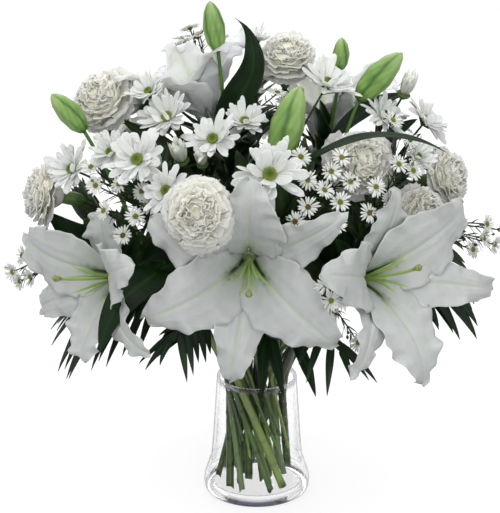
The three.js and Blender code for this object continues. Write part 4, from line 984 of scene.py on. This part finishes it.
def carnation_petals(radius):
    """Fan-shaped petals in layers. Each rises from the calyx and flares to its layer's edge along a bent
    line. It widens with a power of its length and folds in two sets of ruffles that grow to its toothed edge.
    The head's outline swells and shrinks a little with two sines of the direction."""
    layers = np.array(CARNATION_LAYERS)
    reach, high, count = np.repeat(layers, layers[:, 2].astype(int), axis=0).T
    total = len(reach)
    order = np.concatenate([np.arange(n) / n + 0.37 * i for i, (*_, n) in enumerate(CARNATION_LAYERS)])
    shape = (total, 1, 1)
    loose = np.clip(1.15 - reach, 0.1, 1)
    reach = (reach + rng.normal(0, 0.07, total) * loose).reshape(shape)
    high = (high + rng.normal(0, 0.05, total) * loose).reshape(shape)
    way = (ROUND * order + rng.normal(0, 0.2, total)).reshape(shape)
    lean = rng.uniform(0, ROUND, 2)
    reach = reach * (1 + 0.07 * np.sin(2 * way + lean[0]) + 0.05 * np.sin(5 * way + lean[1]))
    spread = (1.5 * np.pi / np.maximum(count, 4)).reshape(shape)
    u = np.linspace(0, 1, PETAL_ROWS)[None, :, None]
    v = np.linspace(-1, 1, PETAL_COLS)[None, None]
    tooth = np.abs((v * 6.3 + rng.uniform(0, 1, shape)) % 1 - 0.5) * 2
    shorter = 1 - (0.06 * tooth + 0.17 * v**4 + 0.05 * np.sin(3 * v + rng.uniform(0, 6, shape))) * u**5
    w = u * shorter
    r, z = arc(0.1, 0.25 + 0.25 * reach, reach, w), arc(-0.45, 0.1 + 0.5 * high, high, w)
    p = rng.uniform(0, ROUND, (4,) + shape)
    folds = rng.uniform(1.1, 1.9, shape)
    crinkle = rng.uniform(3.4, 4.8, shape)
    deep = (0.055 + 0.03 * held(1 - reach)) * np.clip(reach / 0.4, 0.3, 1) * w**1.8
    wave = deep * np.sin(np.pi * folds * v + p[0]) + 0.55 * deep * w**3 * np.sin(np.pi * crinkle * v + p[1])
    run_r, run_z = np.gradient(r, axis=1), np.gradient(z, axis=1)
    size = np.sqrt(run_r**2 + run_z**2) + 1e-9
    r = np.maximum(r - wave * run_z / size, 0.02)
    z = z + wave * run_r / size
    turn = way + v * spread * w**0.7 + 0.09 * w**4 * np.sin(np.pi * crinkle * v + p[2])
    surface = radius * np.stack([r * np.cos(turn), r * np.sin(turn), z + 0 * turn], -1)
    base = 1 - 1.6 * w + 0.5 * held(0.95 - reach)
    pale = np.clip((w - 0.8) * 4, 0, 0.8)
    return part(sheets(surface, 0.55), (base[:, None], pale[:, None]), (v * 1.8, u[:, None] * 3))


def carnation_core(radius):
    """The heart that the petals spring from, well under their edges."""
    profile = smooth_line([(0, -0.5), (0.2, -0.44), (0.45, -0.12), (0.58, 0.14), (0.52, 0.34), (0.36, 0.48),
                           (0.2, 0.56), (0, 0.59)], 4)
    return part(turned(profile * radius, 20), (0.4, 0))


CALYX_CUP = [(1, 3.4), (3, 4.6), (7, 6.0), (12, 7.0), (18, 6.8), (CALYX, 6.4)]
for k, ((centre, radius, *way), stem) in enumerate(zip(CARNATIONS, carnation_stems), 1):
    head = placed([carnation_petals(radius), carnation_core(radius)], centre, axis_of(*way))
    piece(f"carnation_{k}_petals", head, [carnation_petal], "carnation_petal", f"carnation_{k}")
    greens = [stem_part(stem, CARNATION_STEM, 44, cup=CALYX_CUP)]
    for share, side in ((0.45, 1), (0.45, -1), (0.7, 1), (0.7, -1)):
        root = along(stem["route"], share)
        run = unit(along(stem["route"], share + 0.12) - root)
        aside = unit(np.cross(run, [0.3, 1, 0.2])) * side
        tip = root + run * 34 + aside * 14 + [0, 0, -4]
        greens.append(leaf_part(root, root + run * 20 + aside * 3, tip, 3.4, rows=12, cols=5, wave=0.2))
    piece(f"carnation_{k}_greens", greens, [carnation_green], "carnation_green", f"carnation_{k}_stem")


# ---------- daisy chrysanthemums ----------
GOLDEN = math.radians(137.508)  # the golden angle, by which plants turn from one floret to the next


def florets(count, radius, height, size, sides=5):
    """Small knobs on a dome, placed by the golden angle: the square root of the number gives the radius."""
    n = np.arange(count)
    r = radius * np.sqrt((n + 0.5) / count)
    turn = n * GOLDEN
    centre = np.stack([r * np.cos(turn), r * np.sin(turn), height * (1 - (r / radius) ** 2)], -1)
    out = unit(centre * [1, 1, 0] * 1.1 / radius + [0, 0, 1])
    aside = unit(np.cross(out, [0.3, 0.9, 0.1]))
    beside = np.cross(out, aside)
    t = np.linspace(0, ROUND, sides, endpoint=False)
    ring = aside[:, None] * np.cos(t)[:, None] + beside[:, None] * np.sin(t)[:, None]
    rings = np.stack([centre[:, None] + out[:, None] * (up * size) + ring * (wide * size)
                      for up, wide in ((-0.8, 0.9), (0.35, 0.95), (1.1, 0.25))], 1)
    return skins(rings), r / radius


def ray_sheets(count, start, reach, width, lift, droop, rows, cols, jitter, phase=0.0):
    """Petals like the rays of a wheel. Each runs out from the disc, rises by its lift and drops towards its
    tip; it is narrow at its root, widest past the middle and blunt, with a shallow groove along it. Returns
    the plates and, at each of their points, the share of the length and the distance from the midline."""
    s = np.linspace(0, 1, rows)[None, :, None]
    v = np.linspace(-1, 1, cols)[None, None]
    shape = (count, 1, 1)
    long = reach * (1 + rng.normal(0, jitter, shape))
    way = (ROUND * (np.arange(count) + phase) / count).reshape(shape) + rng.normal(0, jitter, shape)
    rise = lift * (1 + rng.normal(0, 3 * jitter, shape))
    blunt = np.sqrt(held(1.02 - held((s - 0.62) / 0.38) ** 3))
    half = width / 2 * np.minimum(1, 0.4 + 1.1 * s) * blunt * (1 + rng.normal(0, 1.5 * jitter, shape))
    out = start + (long - start) * (s - 0.1 * s**3 * np.abs(rng.normal(0, 1, shape)))
    up = rise * np.sin(0.5 * np.pi * s) - droop * (1 + rng.normal(0, 4 * jitter, shape)) * s**2.2
    up = up + rng.normal(0, 0.5 * jitter, shape) * long * s**2
    up = up + 0.22 * half * v**2 - 0.12 * half * np.cos(3 * np.pi * v) * (s > 0.05)
    twist = rng.normal(0, 2.5 * jitter, shape) * s * v * half
    x = out * np.cos(way) - v * half * np.sin(way)
    y = out * np.sin(way) + v * half * np.cos(way)
    return sheets(np.stack([x, y, up + twist + 0 * x], -1), 0.5), s[:, None], (v * half)[:, None]


def daisy_head(radius):
    """Three rows of rays round a disc of florets over a low dome, cupped by a random depth."""
    parts = []
    cup = rng.uniform(0, 0.28) * radius
    for count, share, lift, droop, phase in ((14, 1.03, 3.2, 1.0, 0.0), (12, 0.93, 4.6, -0.5, 0.45),
                                             (8, 0.62, 5.5, -4.0, 0.2)):
        made, s, across = ray_sheets(count, 0.1 * radius, share * radius, 0.25 * radius, lift, droop - cup,
                                     10, 7, 0.14, phase)
        parts.append(part(made, (0.75 * held(1 - s / 0.3), 0.3 * held(s - 0.5)),
                          (across / 10, s * 2)))
    (points, faces), share = florets(60, 0.185 * radius, 0.07 * radius, 0.034 * radius)
    points = points + [0, 0, 2.6 + 0.03 * radius]
    share = share[:, None, None]
    parts.append(part((points, faces), (1 - share * 1.7, np.clip((share - 0.55) * 1.5, 0, 0.8)), material=1))
    dome = smooth_line([(0, -3), (0.15, -1), (0.19, 0.2), (0.13, 0.75), (0, 1)], 3)
    dome = dome * [radius, 0.07 * radius] + [0, 2.4 + 0.03 * radius]
    return parts + [part(turned(dome, 20), (0.9, 0), material=1)]


def half_open(radius):
    """A head whose rays still stand up round its middle, green at their backs."""
    parts = []
    for count, share, height, phase in ((12, 0.95, 1.5, 0.0), (10, 0.6, 1.55, 0.5), (6, 0.3, 1.5, 0.2)):
        made, s, _ = ray_sheets(count, 0.16 * radius, share * radius, 0.5 * radius, 0.3 * radius,
                                -height * radius, 9, 5, 0.05, phase)
        bend = held(np.linalg.norm(made[0][..., :2], axis=-1, keepdims=True) / radius)
        made[0][..., :2] *= 1 - 0.35 * bend**3
        parts.append(part(made, (np.clip(1.1 - s, 0, 0.9), 0)))
    return parts


def sepal_cup(radius, depth, tint):
    """The green cup under a head."""
    return part(turned(smooth_line([(0, -depth), (0.3 * radius, -0.92 * depth), (0.85 * radius, -0.4 * depth),
                                    (radius, 0.1 * depth), (0, 0.2 * depth)], 3), 16), tint, material=1)


def twig_leaves(route, count, length, width):
    """Small narrow leaves along a twig, each turned by the golden angle from the last. They run out along an
    arched line between the twig's direction and the leaf's own, and half the width is a bent sine."""
    share = np.linspace(0.2, 0.95, count) + rng.normal(0, 0.02, count)
    index = np.clip(share * (len(route) - 1), 0, len(route) - 1.001)
    low = index.astype(int)
    root = route[low] + (route[low + 1] - route[low]) * (index - low)[:, None]
    run = unit(route[low + 1] - route[low])
    aside = unit(np.cross(run, [0.21, 0.93, 0.3]))
    beside = np.cross(run, aside)
    turn = (np.arange(count) * math.radians(137.5) + rng.uniform(0, 6))[:, None]
    out = aside * np.cos(turn) + beside * np.sin(turn)
    size = length * rng.uniform(0.6, 1.2, (count, 1, 1))
    s = np.linspace(0, 1, 5)[None, :, None]
    drop = [0, 0, 1] * s**2 * 0.18
    line = root[:, None] + size * (run[:, None] * s * 0.75 + out[:, None] * s * 0.75 - drop)
    across = unit(np.cross(run + out, out - run))[:, None, None]
    half = width / 2 * np.sin(np.pi * np.clip(s, 0.06, 0.97) ** 0.8)
    v = np.array([-1, 0, 1])[None, None, :, None]
    surface = line[:, :, None] + across * v * half[..., None] - run[:, None, None] * (0.12 * width * (v == 0))
    return part(sheets(surface, 0.35), (rng.uniform(0, 1, (count, 1, 1, 1)), 0.1), material=1)


for k, ((_, heads), stem, twigs) in enumerate(zip(DAISY_SPRAYS, daisy_stems, daisy_branches), 1):
    blooms = []
    greens = [stem_part(stem, stem["radius"], 32)] + fill[id(stem)]
    for (*place, radius), twig in zip(heads, twigs):
        axis = outlook(place)
        blooms += placed(daisy_head(radius), place, axis)
        greens += placed([sepal_cup(0.3 * radius, 4.5, (0.3, 0.3))], place, axis)
        greens += [branch_part(twig, 1), twig_leaves(twig["route"], 4, 20, 5)]
    for _, place, radius in [b for b in DAISY_BUDS if b[0] == k]:
        axis = unit(outlook(place) + [0, 0, 0.8])
        # a half-open head grows from the nearest twig, at a point that isn't much above it
        near = min(twigs, key=lambda t: np.min(np.linalg.norm(t["route"][:-2] - place, axis=1)))["route"][:-2]
        start = near[np.argmin(np.linalg.norm(near - place, axis=1) + 30 * (near[:, 2] > place[2] - 12))]
        line = bent(start, unit(place - start + [0, 0, 6]), np.array(place, float), axis, 8, 0.4, 0.35)
        blooms += placed(half_open(radius), place, axis)
        greens.append(branch_part({"route": line, "radius": 1.2}, 1))
        greens += placed([sepal_cup(0.62 * radius, 0.55 * radius, (0.1, 0.5))], place, axis)
    piece(f"daisy_spray_{k}_heads", blooms, [daisy_ray, daisy_disc], "daisy", f"daisy_spray_{k}")
    piece(f"daisy_spray_{k}_greens", greens, [stem_skin, spray_green], "daisy")


# ---------- asters ----------
LILY_CLEARANCE = 92  # nothing small stands before a lily within this distance of its axis
TRIES = 40
EDGE = 8  # extra heads keep this far inside the box of the solids
BUD_TWIGS = 26
BUD_TWIGS_BEHIND = 8  # on the sprays at the sides and at the back


def aster_head():
    """Narrow rays in one and a half rows round a small disc of florets, some of them browned with age."""
    cup = rng.uniform(-0.8, 3)
    parts = [part(ray_sheets(count, 1.8, share * ASTER_RADIUS, 1.75, lift, 0.6 - cup, 5, 3, 0.07, phase)[0])
             for count, share, lift, phase in ((17, 1.08, 0.7, 0.0), (8, 0.98, 1.6, 0.4))]
    (points, faces), share = florets(22, 2.6, 1.1, 0.58, 4)
    old = rng.choice([0.0, 0.15, 0.8], p=[0.55, 0.33, 0.12])
    tone = old + 0.4 * (1 - share[:, None, None])
    parts.append(part((points + [0, 0, 0.9], faces), (tone, 0.2), material=1))
    dome = turned([(0, -1), (2.0, -0.6), (2.6, 0.5), (1.7, 1.2), (0, 1.6)], 10)
    return parts + [part(dome, (0.6, 0), material=1)]


def before_lily(spots, behind):
    """Which places lie close to the axis of an open lily and in front of a plane some way behind its face."""
    way = np.asarray(spots, float)[..., None, :] - (lily_way + HEART)
    above = np.sum(way * lily_axis, axis=-1)
    aside = np.linalg.norm(way - above[..., None] * lily_axis, axis=-1)
    return ((above > -behind) & (aside < LILY_CLEARANCE)).any(axis=-1)


def bud_twigs(routes, count):
    """Short side twigs that bend upwards, each with a closed bud at its end."""
    pick = rng.integers(0, len(routes), count)
    start = np.array([along(routes[i], s) for i, s in zip(pick, rng.uniform(0.25, 0.95, count))])
    ahead = np.array([unit(routes[i][-1] - routes[i][0]) for i in pick])
    way = unit(ahead + 0.75 * unit(rng.normal(0, 1, (count, 3))) + [0, 0, 0.15])
    size = rng.uniform(9, 20, (count, 1, 1))
    t = np.linspace(0, 1, 6)[None, :, None]
    line = start[:, None] + size * (way[:, None] * t + np.array([0, 0, 0.15]) * t**2)
    green = rng.choice([0.15, 0.9], (count, 1, 1))
    plump = rng.uniform(0.8, 1.3, (count, 1, 1))
    kept = ~before_lily(line[:, -1], 16)
    line, green, plump = line[kept], green[kept], plump[kept]
    tall = np.array([-0.2, 0.5, 1.5, 2.6, 3.2])[None, :, None]
    bud = line[:, -1:] + unit(line[:, -1:] - line[:, -2:-1]) * tall * plump
    return [part(tubes(line, np.linspace(0.45, 0.3, 6), 5), (0.4, 0), material=1),
            part(tubes(bud, np.array([0.4, 1.2, 1.6, 1.1, 0.3]), 6), (0, green), material=1)]


def extra_heads(heads, taken):
    """More small heads beside the ones that the solids have. Each takes the first of some random places that
    is clear of all heads so far, inside the box of the solids and not before a lily."""
    made = []
    for place in heads:
        axis = outlook(place)
        for _ in range(TRIES):
            aside = unit(np.cross(axis, rng.normal(0, 1, 3)))
            spot = np.array(place) + aside * rng.uniform(17, 25) - axis * rng.uniform(2, 9)
            free = all(np.linalg.norm(spot - other) > reach + 8 for other, reach in taken)
            inside = (spot > low_corner + EDGE).all() and (spot < high_corner - EDGE).all()
            if free and inside and not before_lily(spot, 48):
                made.append(spot)
                taken.append((spot, 8))
                break
    return made


low_corner, high_corner = np.array(cad_low) / MM, np.array(cad_high) / MM
taken = small_heads(0.9, 0.8)
for k, ((_, heads), stem, twigs) in enumerate(zip(ASTER_SPRAYS, aster_stems, aster_branches), 1):
    blooms = []
    greens = [stem_part(stem, stem["radius"], 24)] + fill[id(stem)]
    more = extra_heads(heads, taken) if k not in (5, 6) else []
    for spot in more:
        near = min(range(len(heads)), key=lambda i: np.linalg.norm(spot - heads[i]))
        route = twigs[near]["route"]
        start = along(route, 0.45)
        axis = outlook(spot)
        span = np.linalg.norm(spot - start)
        line = spaced([start, start + unit(along(route, 0.6) - start) * 0.3 * span, spot - axis * 0.35 * span,
                       spot - axis], max(4, int(span / 5)))
        twigs = twigs + [{"route": line, "radius": 0.6}]
    for spot, twig in zip(heads + more, twigs):
        head = aster_head()
        axis = unit(outlook(spot) + rng.normal(0, 0.16, 3))
        blooms += placed(head, spot, axis)
        greens += placed([sepal_cup(2.6, 3.2, (0.2, 0.3))], spot, axis)
        greens += [branch_part(twig, 1), twig_leaves(twig["route"], 16, 12, 1.5)]
    greens += bud_twigs([t["route"] for t in twigs], BUD_TWIGS_BEHIND if k > 4 else BUD_TWIGS)
    piece(f"aster_spray_{k}_heads", blooms, [aster_ray, aster_disc], "aster", f"aster_spray_{k}")
    piece(f"aster_spray_{k}_greens", greens, [stem_skin, spray_green], "aster")


# ---------- palm fronds and long leaves ----------
def frond_parts(start, tip, width, pairs, broad, droop):
    """A rib that arches between its ends and two rows of long pointed leaflets, which reach out, forward and
    down by shares of the frond's width."""
    start, tip = np.array(start, float), np.array(tip, float)
    crest = (start + tip) / 2 + [0, 0, 18]
    t = np.linspace(0, 1, 24)[:, None]
    rib = arc(start, crest, tip, t)
    lateral = unit(np.cross(tip - start, [0, 0, 1]))
    parts = [part(tubes(rib, np.linspace(1.4, 0.7, 24), 8), (0.2, 0.4))]
    count = 2 * pairs - 1
    for i in range(count):
        share = 0.34 + 0.64 * i / count
        root = arc(start, crest, tip, share)
        run = unit(2 * (crest - start) * (1 - share) + 2 * (tip - crest) * share)
        for side in (-1, 1):
            reach = width * (0.6 + 0.4 * math.sin(math.pi * (share - 0.15))) * rng.uniform(0.85, 1.05)
            end = root + lateral * side * 0.56 * reach + run * (0.3 + 0.35 * share) * reach
            end = end + [0, 0, -droop * reach] + rng.normal(0, 4.5, 3)
            middle = (root + end) / 2 + [0, 0, 0.16 * reach]
            parts.append(leaf_part(root, middle, end, broad, 0.3, rows=14, cols=5, wave=0.3,
                                   facing=np.array([0.1 * side, -0.6, 1]) if root[1] < 30 else (0, 0, 1)))
    end = tip + run * 0.4 * width + [0, 0, -0.3 * width]
    parts.append(leaf_part(tip, arch(tip, end, 0.2), end, broad, 0.3, rows=14, cols=5, wave=0.3))
    return parts


for k, (frond, stem) in enumerate(zip(FRONDS, frond_stems), 1):
    parts = frond_parts(*frond) + [stem_part(stem, FROND_STEM, 60, 1)]
    piece(f"frond_{k}_leaflets", parts, [palm_leaf, stem_skin], "frond", f"frond_{k}")
for k, ((start, tip, width, lift), stem) in enumerate(zip(LONG_LEAVES, blade_stems), 1):
    crest = np.add(start, tip) / 2 + [0, 0, lift]
    parts = [leaf_part(start, crest, tip, width, rows=44, facing=(0, -1, 0.9)),
             stem_part(stem, FROND_STEM, 60, 1)]
    piece(f"long_leaf_{k}_blade", parts, [blade_leaf, stem_skin], "long_leaf", f"long_leaf_{k}")


# ---------- vase and water ----------
outer = smooth_line(VASE_OUTSIDE[1:6], 8)
inner_wall = smooth_line(VASE_INSIDE[:4], 8)
glass_profile = np.concatenate([
    [(0, 5.2), (30, 5.0), (42, 4.6), (46.5, 3.2), (49.5, 0.5), (51, 0.0), (53.4, 1.4)], outer,
    [(41.0, 124.2), (40.4, 125.3), (39.5, 125.5), (38.6, 124.9), (38.3, 123.6)], inner_wall,
    [(50.4, 13.2), (48.6, 10.9), (45, 10), (30, VASE_FLOOR), (0, VASE_FLOOR)]])
piece("vase_glass", [part(turned(glass_profile, 128))], [glass], "glass", "vase")
overlap = 0.25
wet_wall = inner_wall[inner_wall[:, 1] < WATER_LEVEL][::-1]
water_profile = np.concatenate([
    [(0, VASE_FLOOR - overlap), (30, VASE_FLOOR - overlap), (45, 9.7), (48.8, 10.7), (50.7, 13.2)],
    wet_wall[1:] + [overlap, 0],
    [(WATER_SIDE + overlap, WATER_LEVEL + 1.4), (WATER_SIDE - 0.8, WATER_LEVEL + 0.5),
     (WATER_SIDE - 3, WATER_LEVEL), (20, WATER_LEVEL), (0, WATER_LEVEL)]])
piece("vase_water", [part(turned(water_profile, 128))], [water], "water", "water")


# ---------- floor and light ----------
scene = bpy.context.scene
scene.view_settings.view_transform = "Standard"
floor_mesh = bpy.data.meshes.new("floor")
floor_mesh.from_pydata([(-15, -15, 0), (15, -15, 0), (15, 15, 0), (-15, 15, 0)], [], [(0, 1, 2, 3)])
floor = bpy.data.objects.new("floor", floor_mesh)
scene.collection.objects.link(floor)
# White acrylic table lit from below: pale and matt, with hardly a shadow.
table, _, table_surface = new_material("lit acrylic table", Roughness=0.9, Emission_Strength=0.78)
table_surface.inputs["Base Color"].default_value = srgb("#8c8c8c")
table_surface.inputs["Emission Color"].default_value = srgb("#ffffff")
floor_mesh.materials.append(table)
# the table shows in the glass and the water but leaves the shading of the flowers to the lamps and the sky
floor.visible_diffuse = False

# A white studio: the light falls off from the ceiling to the walls and is grey below.
world = bpy.data.worlds.new("studio")
scene.world = world
world.use_nodes = True
sky = world.node_tree.nodes["Background"]
way_up = add(world.node_tree, "TexCoord")
height = add(world.node_tree, "SeparateXYZ", [(0, way_up.outputs["Generated"])])
up_share = add(world.node_tree, "MapRange", [(0, height.outputs[2])], [("From Min", -1)])
shade = add(world.node_tree, "ValToRGB", [(0, up_share.outputs[0])],
            stops=[(0.0, "#9a9c9e"), (0.46, "#b4b6b8"), (0.54, "#d2d4d6"), (0.85, "#ffffff")])
world.node_tree.links.new(shade.outputs[0], sky.inputs["Color"])
sky.inputs["Strength"].default_value = 0.8


def lamp(name, place, aim, size, watts):
    """A large soft square light that faces a point."""
    made = bpy.data.objects.new(name, bpy.data.lights.new(name, "AREA"))
    made.data.size = size
    made.data.energy = watts
    made.location = place
    away = np.subtract(place, aim)
    flat = math.hypot(away[0], away[1])
    made.rotation_euler = (math.atan2(flat, away[2]), 0, math.atan2(away[0], -away[1]))
    scene.collection.objects.link(made)


lamp("key softbox", (-0.7, -1.4, 2.3), (0, 0, 0.3), 1.4, 16)
lamp("fill softbox", (0.4, -2.4, 0.5), (0, 0, 0.3), 1.5, 18)
lamp("top softbox", (0.2, 0.3, 2.4), (0, 0, 0.3), 1.5, 10)
lamp("back softbox", (-0.4, 1.9, 1.5), (0, 0, 0.35), 1.3, 12)
